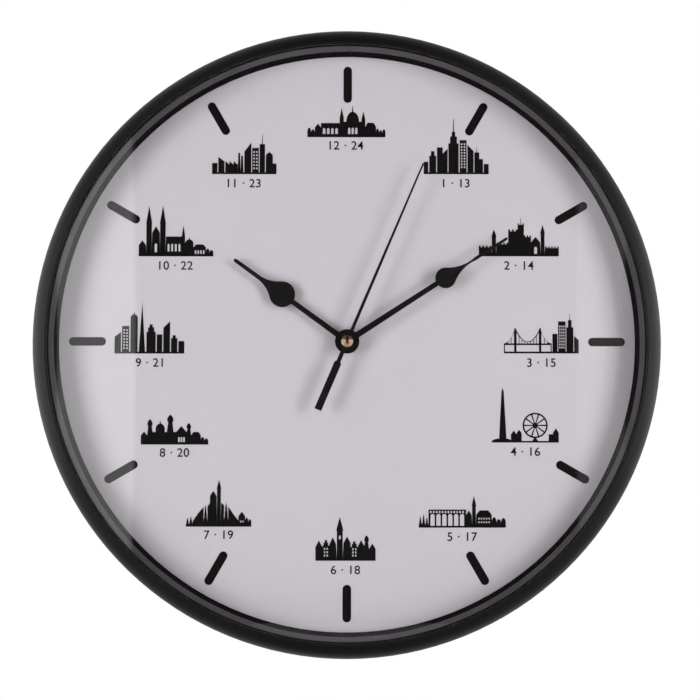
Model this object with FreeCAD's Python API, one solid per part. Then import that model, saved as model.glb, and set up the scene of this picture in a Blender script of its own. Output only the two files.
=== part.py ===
import FreeCAD, Part
import math
import os

# A round quartz wall clock, in millimetres.
# The pieces are drawn lying on their back about the axis of the hands: x to the right, y up the dial
# and z from the wall towards the viewer. stand() turns each one upright, so that the dial faces -Y,
# +Z is up, and the origin is the entry hole of the keyhole in the wall plane.

Vec = FreeCAD.Vector
FULL = 360.0
HALF = 180.0

# Case ring
CASE_RADIUS = 150.0
CASE_DEPTH = 40.0
CASE_WALL = 2.8
FRONT_WIDTH = 9.3
FRONT_SLOPE = 10.5
FRONT_BULGE = 1.2
REAR_ROUND = 1.0
LIP_THICK = 2.0
LIP_ROUND = 0.7
REBATE_DEPTH = 1.7
REBATE_SLOPE = 4.8
RING_STEP_SHARE = 0.45

# Glass
GLASS_THICK = 2.0
GLASS_OVERLAP = 1.7
GLASS_CLEARANCE = 0.2
GLASS_BEVEL = 0.3

# Inner ring between the dial and the glass
DIAL_TO_GLASS = 10.0
RING_SHOWN = 2.5
INNER_WALL = 1.6
INNER_DRAFT = 0.3
STEEP_HEIGHT = 6.6
ROUND_WIDTH = 0.4
ROUND_HEIGHT = 1.0
SLOPE_WIDTH = 1.3
SLOPE_HEIGHT = 1.7
LEDGE_WIDTH = 0.8
FLANGE_THICK = 1.5
JOINT_GAP = 0.25
JOINT_SLANT = 42.0
ROUND_BULGE_SHARE = 0.3

# Dial and its hour bars
DIAL_THICK = 1.0
DIAL_CLEARANCE = 1.1
HOURS = 12
BAR_LENGTH = 17.7
BAR_WIDTH = 4.1
BAR_INSET = 13.6
INK_THICK = 0.06

# Back plate
PLATE_THICK = 2.0
PLATE_CLEARANCE = 0.3
RIB_THICK = 1.6
RIB_HEIGHT = 2.0
RIM_RIB_INSET = 9.0
RIB_RING_SHARES = (0.45, 0.73)
RIB_CLEARANCE = 1.0
RIB_COUNT = 12
FENCE_CLEARANCE = 0.3
FENCE_THICK = 1.5
FENCE_HEIGHT = 4.0

# Screws that hold the back plate to bosses of the case ring
SCREW_COUNT = 6
SCREW_FIRST_ANGLE = 30.0
SCREW_INSET = 5.4
SCREW_RADIUS = 1.4
SCREW_FIT = 0.05
SCREW_HOLE_RADIUS = 1.7
SCREW_DEPTH = 6.0
SCREW_HEAD_RADIUS = 2.3
SCREW_HEAD_HEIGHT = 1.7
SCREW_HEAD_FLAT_SHARE = 0.6
SCREW_CROSS_WIDTH = 0.6
SCREW_CROSS_LENGTH = 2.6
SCREW_CROSS_DEPTH = 0.9
BOSS_RADIUS = 2.9
BOSS_BOTTOM_GAP = 1.0

# Keyhole hanger moulded into the back plate
HOOK_INSET = 38.0
HANGER_WIDTH = 40.0
HANGER_BELOW = 12.0
HANGER_ABOVE = 19.0
HANGER_WALL = 2.0
HANGER_FACE = 2.5
ENTRY_RADIUS = 4.5
SLOT_WIDTH = 5.0
SLOT_RISE = 8.5

# Quartz movement case
MOVEMENT_SIDE = 56.0
MOVEMENT_DEPTH = 16.5
MOVEMENT_CORNER = 4.0
MOVEMENT_WALL = 1.2
MOVEMENT_SPLIT = 9.0
BAY_WALL = 1.0
BAY_WALL_TOP = -10.5
BAY_END_GAP = 1.2
SADDLE_THICK = 1.5
SADDLE_PLACE = 12.0
SADDLE_HEIGHT = 4.8
SADDLE_CLEARANCE = 0.25
TONGUE_WIDTH = 7.0
TONGUE_THICK = 0.9
TONGUE_LENGTH = 7.0
TONGUE_BELOW = 3.0
TONGUE_PLACE = 14.0
BARB_HEIGHT = 1.5
BARB_DEPTH = 0.5
BARB_CLEARANCE = 0.15
PIVOT_BOSS_RADIUS = 1.3
PIVOT_BOSS_HEIGHT = 0.7
PIVOT_DEPTH = 0.6
PIVOT_FIT = 0.05
SETTING_FIT = 0.1
POST_RADIUS = 1.2

# Threaded bush, nut and washer
BUSH_RADIUS = 4.0
BUSH_LENGTH = 5.6
BUSH_CLEARANCE = 0.15
BUSH_FIT = 0.07
GROOVE_DEPTH = 0.2
GROOVE_PITCH = 0.6
GROOVE_COUNT = 4
WASHER_RADIUS = 5.5
WASHER_THICK = 0.4
NUT_ACROSS = 10.0
NUT_CORNER_RADIUS = 5.5
NUT_THICK = 1.8
NUT_FIT = 0.05

# Gear bridge
BRIDGE_LEFT = 17.5
BRIDGE_RIGHT = 22.8
BRIDGE_BELOW = 9.6
BRIDGE_ABOVE = 14.6
BRIDGE_THICK = 1.0
BRIDGE_FROM_FRONT = 5.0
BRIDGE_CORNER = 2.0

# Wheels of the train: distances of the arbors from the axis of the hands, and their directions
THIRD_DISTANCE = 9.5
THIRD_ANGLE = 160.0
INTERMEDIATE_DISTANCE = 9.5
INTERMEDIATE_ANGLE = 45.0
ROTOR_DISTANCE = 7.0
ROTOR_ANGLE = 20.0
SETTING_DISTANCE = 10.5
SETTING_ANGLE = -5.0

SECONDS_WHEEL_TEETH = 60
SECONDS_PINION_TEETH = 8
INTERMEDIATE_WHEEL_TEETH = 60
INTERMEDIATE_PINION_TEETH = 12
ROTOR_PINION_TEETH = 10
THIRD_WHEEL_TEETH = 60
THIRD_PINION_TEETH = 8
MINUTE_WHEEL_TEETH = 64
CANNON_PINION_TEETH = 12
SETTING_WHEEL_TEETH = 36
SETTING_PINION_TEETH = 10
HOUR_WHEEL_TEETH = 40

# Shares of the module for the height of a tooth, and of the pitch for its width
TIP_SHARE = 0.80
ROOT_SHARE = 1.15
PITCH_WIDTH_SHARE = 0.40
TIP_WIDTH_SHARE = 0.16
ROOT_WIDTH_SHARE = 0.46

# Levels of the train, measured back from the inside of the movement's front wall
HOUR_WHEEL_LEVEL = 0.4
HOUR_WHEEL_THICK = 1.0
SETTING_WHEEL_LEVEL = 2.6
SETTING_WHEEL_THICK = 0.9
CANNON_LEVEL = 2.4
CANNON_THICK = 1.3
MINUTE_WHEEL_LEVEL = 6.9
MINUTE_WHEEL_THICK = 0.7
THIRD_PINION_LEVEL = 6.6
THIRD_WHEEL_LEVEL = 8.4
THIRD_WHEEL_THICK = 0.7
SECONDS_PINION_LEVEL = 8.1
SECONDS_PINION_THICK = 1.3
SECONDS_WHEEL_LEVEL = 10.2
SECONDS_WHEEL_THICK = 0.6
INTERMEDIATE_PINION_LEVEL = 9.8
INTERMEDIATE_WHEEL_LEVEL = 11.8
INTERMEDIATE_WHEEL_THICK = 0.6
ROTOR_PINION_LEVEL = 11.4
ROTOR_PINION_THICK = 1.4
MAGNET_LEVEL = 7.6
MAGNET_THICK = 2.8
MAGNET_RADIUS = 3.0
MAGNET_BORE = 0.8
MAGNET_FLANGE_RADIUS = 2.0
MAGNET_FLANGE_THICK = 0.3
ARBOR_RADIUS = 0.4
SETTING_ARBOR_RADIUS = 0.8
SPRING_THICK = 0.35
SPRING_RADIUS = 3.3
SPRING_WAVE_GAP = 0.1
TUBE_FOOT_RADIUS = 2.3
TUBE_FOOT_THICK = 0.2

# Tubes of the hands and the stack above the dial
HOUR_TUBE_RADIUS = 2.55
HOUR_TUBE_BORE = 1.84
MINUTE_TUBE_RADIUS = 1.75
MINUTE_TUBE_BORE = 0.58
SECONDS_ARBOR_RADIUS = 0.5
TUBE_FIT = 0.05
HOUR_TUBE_RISE = 4.2
MINUTE_TUBE_RISE = 6.1
SECONDS_ARBOR_RISE = 8.4
HOUR_HAND_RISE = 3.1
MINUTE_HAND_RISE = 5.1
SECONDS_HAND_RISE = 7.2
HAND_THICK = 0.5
SECONDS_HAND_THICK = 0.4
HUB_WALL = 0.9
HUB_BELOW = 0.2
HUB_ABOVE = 0.4
SECONDS_HUB_RADIUS = 1.2
SECONDS_HUB_BELOW = 0.8

# Hands: where they stand, in degrees clockwise from twelve, and their outlines from the axis outwards
HOUR_ANGLE = 305.9
MINUTE_ANGLE = 57.1
SECONDS_ANGLE = 23.1

HOUR_BOSS_RADIUS = 5.8
HOUR_STEM_WIDTH = 2.8
HOUR_STEM_END_WIDTH = 2.45
HOUR_BULB_PLACE = 38.4
HOUR_BULB_RADIUS = 6.2
HOUR_NECK_PLACE = 53.4
HOUR_NEEDLE_WIDTH = 2.05
HOUR_TIP_WIDTH = 1.8
HOUR_LENGTH = 66.9

MINUTE_BOSS_RADIUS = 5.8
MINUTE_STEM_WIDTH = 3.0
MINUTE_STEM_END_WIDTH = 2.4
MINUTE_BULB_PLACE = 55.8
MINUTE_BULB_RADIUS = 4.95
MINUTE_NECK_PLACE = 73.0
MINUTE_NEEDLE_WIDTH = 1.6
MINUTE_TIP_WIDTH = 1.3
MINUTE_LENGTH = 90.9

# Where the concave flank leaves the bulb, as an angle past its widest place, and its sag share
FLANK_START_ANGLE = 38.0
FLANK_SAG_SHARE = 0.10

SECONDS_BOSS_RADIUS = 4.1
SECONDS_LENGTH = 92.2
SECONDS_ROOT_WIDTH = 1.65
SECONDS_TIP_WIDTH = 0.8
TAIL_NECK_WIDTH = 2.0
TAIL_WIDTH = 3.45
TAIL_START = 10.6
TAIL_LENGTH = 35.2
TAIL_CHAMFER = 0.15

CAP_RADIUS = 2.8
CAP_RIM = 0.75
CAP_HEIGHT = 1.5

# Setting knob
KNOB_RADIUS = 5.0
KNOB_THICK = 2.5
KNOB_GAP = 0.3
KNOB_GRIPS = 18
KNOB_GRIP_RADIUS = 0.45
KNOB_DISH_RADIUS = 3.4
KNOB_DISH_DEPTH = 0.5

# Stator, coil and core
STATOR_THICK = 1.0
STATOR_LEVEL = 8.6
STATOR_HOLE_RADIUS = 3.5
STATOR_LEFT = -11.0
STATOR_RIGHT = 18.5
STATOR_ARM = 3.0
STATOR_BLOCK_LEFT = 8.6
STATOR_BLOCK_BELOW = 4.9
STATOR_BAR_BELOW = 12.5
STATOR_BAR_ABOVE = 15.5
STATOR_NOTCH_RADIUS = 0.5
COIL_HEIGHT = 21.5
CORE_WIDTH = 2.6
CORE_THICK = 1.2
BOBBIN_GAP = 0.6
BOBBIN_WALL = 0.5
BOBBIN_FLANGE_RADIUS = 4.4
BOBBIN_FLANGE_THICK = 0.8
BOBBIN_FIT = 0.1
WINDING_RADIUS = 3.9

# Circuit board
BOARD_LEFT = -25.8
BOARD_RIGHT = -12.5
BOARD_BELOW = 2.0
BOARD_ABOVE = 25.5
BOARD_THICK = 1.0
BOARD_STAND = 1.5
CHIP_RADIUS = 2.6
CHIP_HEIGHT = 1.1
CHIP_X = -20.5
CHIP_Y = 8.0
CRYSTAL_RADIUS = 1.0
CRYSTAL_LENGTH = 6.2
CRYSTAL_X = -23.0
CRYSTAL_Y = 18.0

# Battery and contacts
CELL_RADIUS = 7.1
CELL_LENGTH = 50.0
CELL_FRONT_GAP = 0.2
CELL_SIDE_GAP = 0.6
CELL_ROUND = 0.6
TERMINAL_RADIUS = 2.75
TERMINAL_LENGTH = 1.4
CONTACT_THICK = 0.4
CONTACT_WIDTH = 9.0
CONTACT_DEPTH = 10.0
LEAF_WIDTH = 5.0
STRIP_WIDTH = 2.4
STRIP_THICK = 0.3
STRIP_END = -20.0
TAB_LENGTH = 2.6
CONTACT_PRESS_GAP = 0.05

# How far a cutting solid runs past the faces that it cuts
OVERRUN = 1.0

# Sag of a quarter of a circle, as a share of its radius
QUARTER_SAG_SHARE = 1 - math.sqrt(0.5)

# Heights above the wall that follow from the sizes
GLASS_TOP = CASE_DEPTH - LIP_THICK
GLASS_BOTTOM = GLASS_TOP - GLASS_THICK
REBATE_BOTTOM = GLASS_BOTTOM - REBATE_DEPTH
DIAL_FACE = GLASS_BOTTOM - DIAL_TO_GLASS
DIAL_BACK = DIAL_FACE - DIAL_THICK
PLATE_BACK = DIAL_BACK - PLATE_THICK
MOVEMENT_FRONT = PLATE_BACK
MOVEMENT_REAR = MOVEMENT_FRONT - MOVEMENT_DEPTH
INSIDE_FRONT = MOVEMENT_FRONT - MOVEMENT_WALL
INSIDE_REAR = MOVEMENT_REAR + MOVEMENT_WALL
SPLIT_HEIGHT = MOVEMENT_FRONT - MOVEMENT_SPLIT
BRIDGE_TOP = INSIDE_FRONT - BRIDGE_FROM_FRONT
BRIDGE_BOTTOM = BRIDGE_TOP - BRIDGE_THICK
SIDE_DEPTH = CASE_DEPTH - FRONT_SLOPE

# Radii and places that follow from the sizes
LIP_RADIUS = CASE_RADIUS - FRONT_WIDTH
INNER_RADIUS = LIP_RADIUS - RING_SHOWN
BAR_RADIUS = INNER_RADIUS - BAR_INSET
SCREW_PLACE_RADIUS = CASE_RADIUS - SCREW_INSET
DIAL_RADIUS = SCREW_PLACE_RADIUS - BOSS_RADIUS - DIAL_CLEARANCE
HOOK_RISE = CASE_RADIUS - HOOK_INSET
GLASS_RADIUS = LIP_RADIUS + GLASS_OVERLAP
REBATE_RADIUS = GLASS_RADIUS + GLASS_CLEARANCE
CAVITY_RADIUS = CASE_RADIUS - CASE_WALL
PLATE_RADIUS = CAVITY_RADIUS - PLATE_CLEARANCE
RIM_RIB_RADIUS = PLATE_RADIUS - RIM_RIB_INSET
INSIDE_HALF = MOVEMENT_SIDE / 2 - MOVEMENT_WALL
BAY_TOP = BAY_WALL_TOP - BAY_WALL
CELL_Y = -INSIDE_HALF + CELL_SIDE_GAP + CELL_RADIUS
CELL_Z = INSIDE_FRONT - CELL_FRONT_GAP - CELL_RADIUS
STATOR_BOTTOM = INSIDE_FRONT - STATOR_LEVEL - STATOR_THICK
STATOR_TOP = INSIDE_FRONT - STATOR_LEVEL
CORE_MIDDLE = STATOR_TOP + CORE_THICK / 2
BOARD_BOTTOM = INSIDE_REAR + BOARD_STAND
BOARD_TOP = BOARD_BOTTOM + BOARD_THICK


def polar(distance, angle):
    """Point on the dial plane at a distance and an anticlockwise angle from +x."""
    return (distance * math.cos(math.radians(angle)), distance * math.sin(math.radians(angle)))


AXIS = (0.0, 0.0)
THIRD_AXIS = polar(THIRD_DISTANCE, THIRD_ANGLE)
INTERMEDIATE_AXIS = polar(INTERMEDIATE_DISTANCE, INTERMEDIATE_ANGLE)
SETTING_AXIS = polar(SETTING_DISTANCE, SETTING_ANGLE)
ROTOR_OFFSET = polar(ROTOR_DISTANCE, ROTOR_ANGLE)
ROTOR_AXIS = (INTERMEDIATE_AXIS[0] + ROTOR_OFFSET[0], INTERMEDIATE_AXIS[1] + ROTOR_OFFSET[1])
BRIDGE_POSTS = (
    (-BRIDGE_LEFT + BRIDGE_CORNER, -BRIDGE_BELOW + BRIDGE_CORNER),
    (-BRIDGE_LEFT + BRIDGE_CORNER, BRIDGE_ABOVE - BRIDGE_CORNER),
    (BRIDGE_RIGHT - BRIDGE_CORNER, -BRIDGE_BELOW + BRIDGE_CORNER),
    (BRIDGE_RIGHT - BRIDGE_CORNER, BRIDGE_ABOVE - BRIDGE_CORNER),
)


def module(distance, wheel_teeth, pinion_teeth):
    """Module that brings two gears into mesh at a distance between their axes."""
    return 2 * distance / (wheel_teeth + pinion_teeth)


SECONDS_MODULE = module(INTERMEDIATE_DISTANCE, SECONDS_WHEEL_TEETH, INTERMEDIATE_PINION_TEETH)
ROTOR_MODULE = module(ROTOR_DISTANCE, INTERMEDIATE_WHEEL_TEETH, ROTOR_PINION_TEETH)
THIRD_MODULE = module(THIRD_DISTANCE, THIRD_WHEEL_TEETH, SECONDS_PINION_TEETH)
MINUTE_MODULE = module(THIRD_DISTANCE, MINUTE_WHEEL_TEETH, THIRD_PINION_TEETH)
SETTING_MODULE = module(SETTING_DISTANCE, SETTING_WHEEL_TEETH, CANNON_PINION_TEETH)
HOUR_MODULE = module(SETTING_DISTANCE, HOUR_WHEEL_TEETH, SETTING_PINION_TEETH)


# Basic solids

def box(x0, x1, y0, y1, z0, z1):
    return Part.makeBox(x1 - x0, y1 - y0, z1 - z0, Vec(x0, y0, z0))


def rod(radius, z0, z1, centre=AXIS):
    return Part.makeCylinder(radius, z1 - z0, Vec(centre[0], centre[1], z0))


def tube(outer, inner, z0, z1, centre=AXIS):
    return rod(outer, z0, z1, centre).cut(rod(inner, z0 - OVERRUN, z1 + OVERRUN, centre))


def edges_of(start, steps, point):
    """Edges from start through the steps: a step is an end, or a pair of a middle and an end of an arc."""
    edges = []
    here = start
    for step in steps:
        if isinstance(step[0], tuple):
            middle, end = step
            edges.append(Part.Arc(point(here), point(middle), point(end)).toShape())
        else:
            end = step
            edges.append(Part.makeLine(point(here), point(end)))
        here = end
    return edges


def turned(start, steps):
    """Solid of revolution about z of a closed outline of radius and height."""
    wire = Part.Wire(edges_of(start, steps, lambda p: Vec(p[0], 0, p[1])))
    return Part.Face(wire).revolve(Vec(0, 0, 0), Vec(0, 0, 1), FULL)


def plate(start, steps, z0, z1):
    """Plate between two heights with a closed outline in x and y."""
    wire = Part.Wire(edges_of(start, steps, lambda p: Vec(p[0], p[1], z0)))
    return Part.Face(wire).extrude(Vec(0, 0, z1 - z0))


def rounded_plate(x0, x1, y0, y1, z0, z1, corner):
    solid = box(x0, x1, y0, y1, z0, z1)
    upright = [e for e in solid.Edges if abs(e.Vertexes[0].Z - e.Vertexes[1].Z) > (z1 - z0) / 2]
    return solid.makeFillet(corner, upright)


def bowed(a, b, sag):
    """Point beside the middle of the line from a to b, on its left by sag."""
    dx, dy = b[0] - a[0], b[1] - a[1]
    length = math.hypot(dx, dy)
    return ((a[0] + b[0]) / 2 - dy / length * sag, (a[1] + b[1]) / 2 + dx / length * sag)


def spun(solid, angle, centre=AXIS):
    copy = solid.copy()
    copy.rotate(Vec(centre[0], centre[1], 0), Vec(0, 0, 1), angle)
    return copy


def gear(teeth, mod, z0, z1, centre, phase):
    """Spur gear with straight flanks, one tooth pointing at the angle phase."""
    pitch_radius = teeth * mod / 2
    pitch_angle = FULL / teeth
    root = pitch_radius - ROOT_SHARE * mod
    corners = (
        (root, -ROOT_WIDTH_SHARE / 2),
        (pitch_radius, -PITCH_WIDTH_SHARE / 2),
        (pitch_radius + TIP_SHARE * mod, -TIP_WIDTH_SHARE / 2),
        (pitch_radius + TIP_SHARE * mod, TIP_WIDTH_SHARE / 2),
        (pitch_radius, PITCH_WIDTH_SHARE / 2),
        (root, ROOT_WIDTH_SHARE / 2),
    )
    points = []
    for tooth in range(teeth):
        for radius, share in corners:
            x, y = polar(radius, phase + (tooth + share) * pitch_angle)
            points.append(Vec(centre[0] + x, centre[1] + y, z0))
    wire = Part.makePolygon(points + points[:1])
    return Part.Face(wire).extrude(Vec(0, 0, z1 - z0))


def mesh_phases(angle, driven_teeth):
    """Phases of two gears in mesh: a tooth of the first points at the second, into a gap of it."""
    return angle, angle + HALF + HALF / driven_teeth


# Case

def case_ring():
    edge = (CASE_RADIUS, SIDE_DEPTH)
    lip_top = (LIP_RADIUS + LIP_ROUND, CASE_DEPTH)
    lip_front = (LIP_RADIUS, CASE_DEPTH - LIP_ROUND)
    lip_middle = bowed(lip_top, lip_front, -LIP_ROUND * QUARTER_SAG_SHARE)
    rear = (CASE_RADIUS - REAR_ROUND, 0.0)
    rear_side = (CASE_RADIUS, REAR_ROUND)
    step_radius = REBATE_RADIUS + (CAVITY_RADIUS - REBATE_RADIUS) * RING_STEP_SHARE
    ring = turned(rear, [
        (bowed(rear, rear_side, -REAR_ROUND * QUARTER_SAG_SHARE), rear_side),
        edge,
        (bowed(edge, lip_top, -FRONT_BULGE), lip_top),
        (lip_middle, lip_front),
        (LIP_RADIUS, GLASS_TOP),
        (REBATE_RADIUS, GLASS_TOP),
        (REBATE_RADIUS, REBATE_BOTTOM),
        (step_radius, REBATE_BOTTOM),
        (CAVITY_RADIUS, REBATE_BOTTOM - REBATE_SLOPE),
        (CAVITY_RADIUS, 0.0),
        rear,
    ])
    shell = rod(CASE_RADIUS - CASE_WALL / 2, 0.0, REBATE_BOTTOM)
    hole_top = REBATE_BOTTOM - BOSS_BOTTOM_GAP
    holes = []
    for centre in screw_places():
        ring = ring.fuse(rod(BOSS_RADIUS, DIAL_BACK, REBATE_BOTTOM, centre).common(shell))
        holes.append(rod(SCREW_RADIUS + SCREW_FIT, DIAL_BACK - OVERRUN, hole_top, centre))
    return ring.cut(holes).removeSplitter()


def screw_places():
    step = FULL / SCREW_COUNT
    return [polar(SCREW_PLACE_RADIUS, SCREW_FIRST_ANGLE + step * number) for number in range(SCREW_COUNT)]


def glass():
    inner = GLASS_RADIUS - GLASS_BEVEL
    return turned((0.0, GLASS_BOTTOM), [
        (inner, GLASS_BOTTOM),
        (GLASS_RADIUS, GLASS_BOTTOM + GLASS_BEVEL),
        (GLASS_RADIUS, GLASS_TOP - GLASS_BEVEL),
        (inner, GLASS_TOP),
        (0.0, GLASS_TOP),
        (0.0, GLASS_BOTTOM),
    ])


def inner_ring():
    steep_top = (INNER_RADIUS + INNER_DRAFT, DIAL_FACE + STEEP_HEIGHT)
    slope_start = (steep_top[0] + ROUND_WIDTH, steep_top[1] + ROUND_HEIGHT)
    slope_end = (slope_start[0] + SLOPE_WIDTH, slope_start[1] + SLOPE_HEIGHT)
    round_middle = bowed(steep_top, slope_start, ROUND_WIDTH * ROUND_BULGE_SHARE)
    outer = INNER_RADIUS + INNER_WALL
    under = GLASS_BOTTOM - FLANGE_THICK
    ring = turned((INNER_RADIUS, DIAL_FACE), [
        steep_top,
        (round_middle, slope_start),
        slope_end,
        (slope_end[0] + LEDGE_WIDTH, GLASS_BOTTOM),
        (GLASS_RADIUS, GLASS_BOTTOM),
        (GLASS_RADIUS, under),
        (outer + INNER_DRAFT + ROUND_WIDTH, under),
        (outer, steep_top[1] - ROUND_HEIGHT),
        (outer, DIAL_FACE),
        (INNER_RADIUS, DIAL_FACE),
    ])
    reach = GLASS_RADIUS - INNER_RADIUS + OVERRUN
    middle = (GLASS_RADIUS + INNER_RADIUS) / 2
    slit = box(-reach, reach, middle - JOINT_GAP / 2, middle + JOINT_GAP / 2,
               DIAL_FACE - OVERRUN, GLASS_BOTTOM + OVERRUN)
    return ring.cut(spun(slit, -JOINT_SLANT, (0.0, middle)))


def dial():
    return tube(DIAL_RADIUS, BUSH_RADIUS + BUSH_CLEARANCE, DIAL_BACK, DIAL_FACE)


def hour_marks():
    half = (BAR_LENGTH - BAR_WIDTH) / 2
    side = BAR_WIDTH / 2
    low, high = BAR_RADIUS - half, BAR_RADIUS + half
    bar = plate((-side, low), [
        ((0.0, low - side), (side, low)),
        (side, high),
        ((0.0, high + side), (-side, high)),
        (-side, low),
    ], DIAL_FACE, DIAL_FACE + INK_THICK)
    return Part.makeCompound([spun(bar, FULL / HOURS * hour) for hour in range(HOURS)])


# Back plate with ribs, the movement's fence and the hanger box

def back_plate():
    inside = MOVEMENT_SIDE / 2 + FENCE_CLEARANCE
    outside = inside + FENCE_THICK
    corner = MOVEMENT_CORNER + FENCE_THICK
    rib_back = PLATE_BACK - RIB_HEIGHT
    rib_start = math.hypot(outside, outside) + RIB_CLEARANCE
    rib_end = RIM_RIB_RADIUS - RIB_THICK / 2
    solids = [rod(PLATE_RADIUS, PLATE_BACK, DIAL_BACK)]
    for share in RIB_RING_SHARES + (1.0,):
        radius = RIM_RIB_RADIUS * share
        solids.append(tube(radius, radius - RIB_THICK, rib_back, PLATE_BACK))
    rib = box(rib_start, rib_end, -RIB_THICK / 2, RIB_THICK / 2, rib_back, PLATE_BACK)
    for number in range(RIB_COUNT):
        solids.append(spun(rib, FULL / RIB_COUNT * (number + 0.5)))
    fence_back = PLATE_BACK - FENCE_HEIGHT
    fence = rounded_plate(-outside, outside, -outside, outside, fence_back, PLATE_BACK, corner)
    solids.append(fence.cut(rounded_plate(-inside, inside, -inside, inside,
                                          fence_back - OVERRUN, PLATE_BACK, MOVEMENT_CORNER)))
    half = HANGER_WIDTH / 2
    low, high = HOOK_RISE - HANGER_BELOW, HOOK_RISE + HANGER_ABOVE
    solids.append(box(-half, half, low, high, 0.0, PLATE_BACK))
    plain = solids[0].fuse(solids[1:])
    hollow = box(-half + HANGER_WALL, half - HANGER_WALL, low + HANGER_WALL, high - HANGER_WALL,
                 HANGER_FACE, DIAL_BACK + OVERRUN)
    slot_top = HOOK_RISE + SLOT_RISE
    cuts = [
        hollow,
        rod(BUSH_RADIUS + BUSH_CLEARANCE, PLATE_BACK - OVERRUN, DIAL_BACK + OVERRUN),
        rod(ENTRY_RADIUS, -OVERRUN, HANGER_FACE + OVERRUN, (0.0, HOOK_RISE)),
        box(-SLOT_WIDTH / 2, SLOT_WIDTH / 2, HOOK_RISE, slot_top, -OVERRUN, HANGER_FACE + OVERRUN),
        rod(SLOT_WIDTH / 2, -OVERRUN, HANGER_FACE + OVERRUN, (0.0, slot_top)),
    ]
    for centre in screw_places():
        cuts.append(rod(SCREW_HOLE_RADIUS, PLATE_BACK - OVERRUN, DIAL_BACK + OVERRUN, centre))
    return plain.cut(cuts).removeSplitter()


def back_plate_screws():
    head_back = PLATE_BACK - SCREW_HEAD_HEIGHT
    blank = turned((0.0, head_back), [
        (SCREW_HEAD_RADIUS * SCREW_HEAD_FLAT_SHARE, head_back),
        (SCREW_HEAD_RADIUS, PLATE_BACK - SCREW_HEAD_HEIGHT / 2),
        (SCREW_HEAD_RADIUS, PLATE_BACK),
        (SCREW_RADIUS, PLATE_BACK),
        (SCREW_RADIUS, DIAL_BACK + SCREW_DEPTH - SCREW_RADIUS),
        (0.0, DIAL_BACK + SCREW_DEPTH),
        (0.0, head_back),
    ])
    arm = box(-SCREW_CROSS_LENGTH / 2, SCREW_CROSS_LENGTH / 2, -SCREW_CROSS_WIDTH / 2, SCREW_CROSS_WIDTH / 2,
              head_back - OVERRUN, head_back + SCREW_CROSS_DEPTH)
    screw = blank.cut([arm, spun(arm, FULL / 4)])
    screws = []
    for x, y in screw_places():
        copy = screw.copy()
        copy.translate(Vec(x, y, 0))
        screws.append(copy)
    return Part.makeCompound(screws)


# Movement case, bush, nut and washer

def movement_block(z0, z1, inset):
    half = MOVEMENT_SIDE / 2 - inset
    corner = MOVEMENT_CORNER - inset
    return rounded_plate(-half, half, -half, half, z0, z1, corner)


def tongue_places():
    return [(side, y) for side in (-1, 1) for y in (-TONGUE_PLACE, TONGUE_PLACE)]


def side_box(side, near, far, y, width, z0, z1):
    """Box on the left or right side, between two distances from the middle."""
    x0, x1 = sorted((side * near, side * far))
    return box(x0, x1, y - width / 2, y + width / 2, z0, z1)


def movement_front_case():
    shell = movement_block(SPLIT_HEIGHT, MOVEMENT_FRONT, 0.0)
    shell = shell.cut(movement_block(SPLIT_HEIGHT - OVERRUN, INSIDE_FRONT, MOVEMENT_WALL))
    wall_end = INSIDE_HALF - BAY_END_GAP
    parts = [
        box(-wall_end, wall_end, BAY_TOP, BAY_WALL_TOP, SPLIT_HEIGHT, INSIDE_FRONT + MOVEMENT_WALL / 2),
        rod(BUSH_RADIUS, INSIDE_FRONT, MOVEMENT_FRONT + BUSH_LENGTH),
    ]
    for x in (-SADDLE_PLACE, SADDLE_PLACE):
        saddle = box(x - SADDLE_THICK / 2, x + SADDLE_THICK / 2, -INSIDE_HALF - MOVEMENT_WALL / 2,
                     BAY_TOP + BAY_WALL / 2, INSIDE_FRONT - SADDLE_HEIGHT, INSIDE_FRONT + MOVEMENT_WALL / 2)
        parts.append(saddle.cut(cell_rod(CELL_RADIUS + SADDLE_CLEARANCE, x - SADDLE_THICK, x + SADDLE_THICK)))
    for centre in BRIDGE_POSTS:
        parts.append(rod(POST_RADIUS, BRIDGE_TOP, INSIDE_FRONT + MOVEMENT_WALL / 2, centre))
    shell = shell.fuse(parts)
    outer = MOVEMENT_SIDE / 2
    bore = HOUR_TUBE_RADIUS + BUSH_FIT
    cuts = [
        rod(bore, INSIDE_FRONT - OVERRUN, MOVEMENT_FRONT + BUSH_LENGTH + OVERRUN),
        rod(SECONDS_ARBOR_RADIUS + PIVOT_FIT, INSIDE_FRONT - OVERRUN, INSIDE_FRONT + PIVOT_DEPTH, SETTING_AXIS),
    ]
    groove_start = MOVEMENT_FRONT + BUSH_LENGTH - GROOVE_PITCH
    for number in range(GROOVE_COUNT):
        middle = groove_start - GROOVE_PITCH * number
        cuts.append(turned((BUSH_RADIUS - GROOVE_DEPTH, middle), [
            (BUSH_RADIUS + GROOVE_DEPTH, middle - GROOVE_PITCH / 2),
            (BUSH_RADIUS + GROOVE_DEPTH, middle + GROOVE_PITCH / 2),
            (BUSH_RADIUS - GROOVE_DEPTH, middle),
        ]))
    barb_top = SPLIT_HEIGHT - TONGUE_BELOW + TONGUE_LENGTH
    for side, y in tongue_places():
        cuts.append(side_box(side, outer - BARB_DEPTH - BARB_CLEARANCE, outer + OVERRUN, y,
                             TONGUE_WIDTH + 2 * BARB_CLEARANCE,
                             barb_top - BARB_HEIGHT - BARB_CLEARANCE, barb_top + BARB_CLEARANCE))
    return shell.cut(cuts).removeSplitter()


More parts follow.
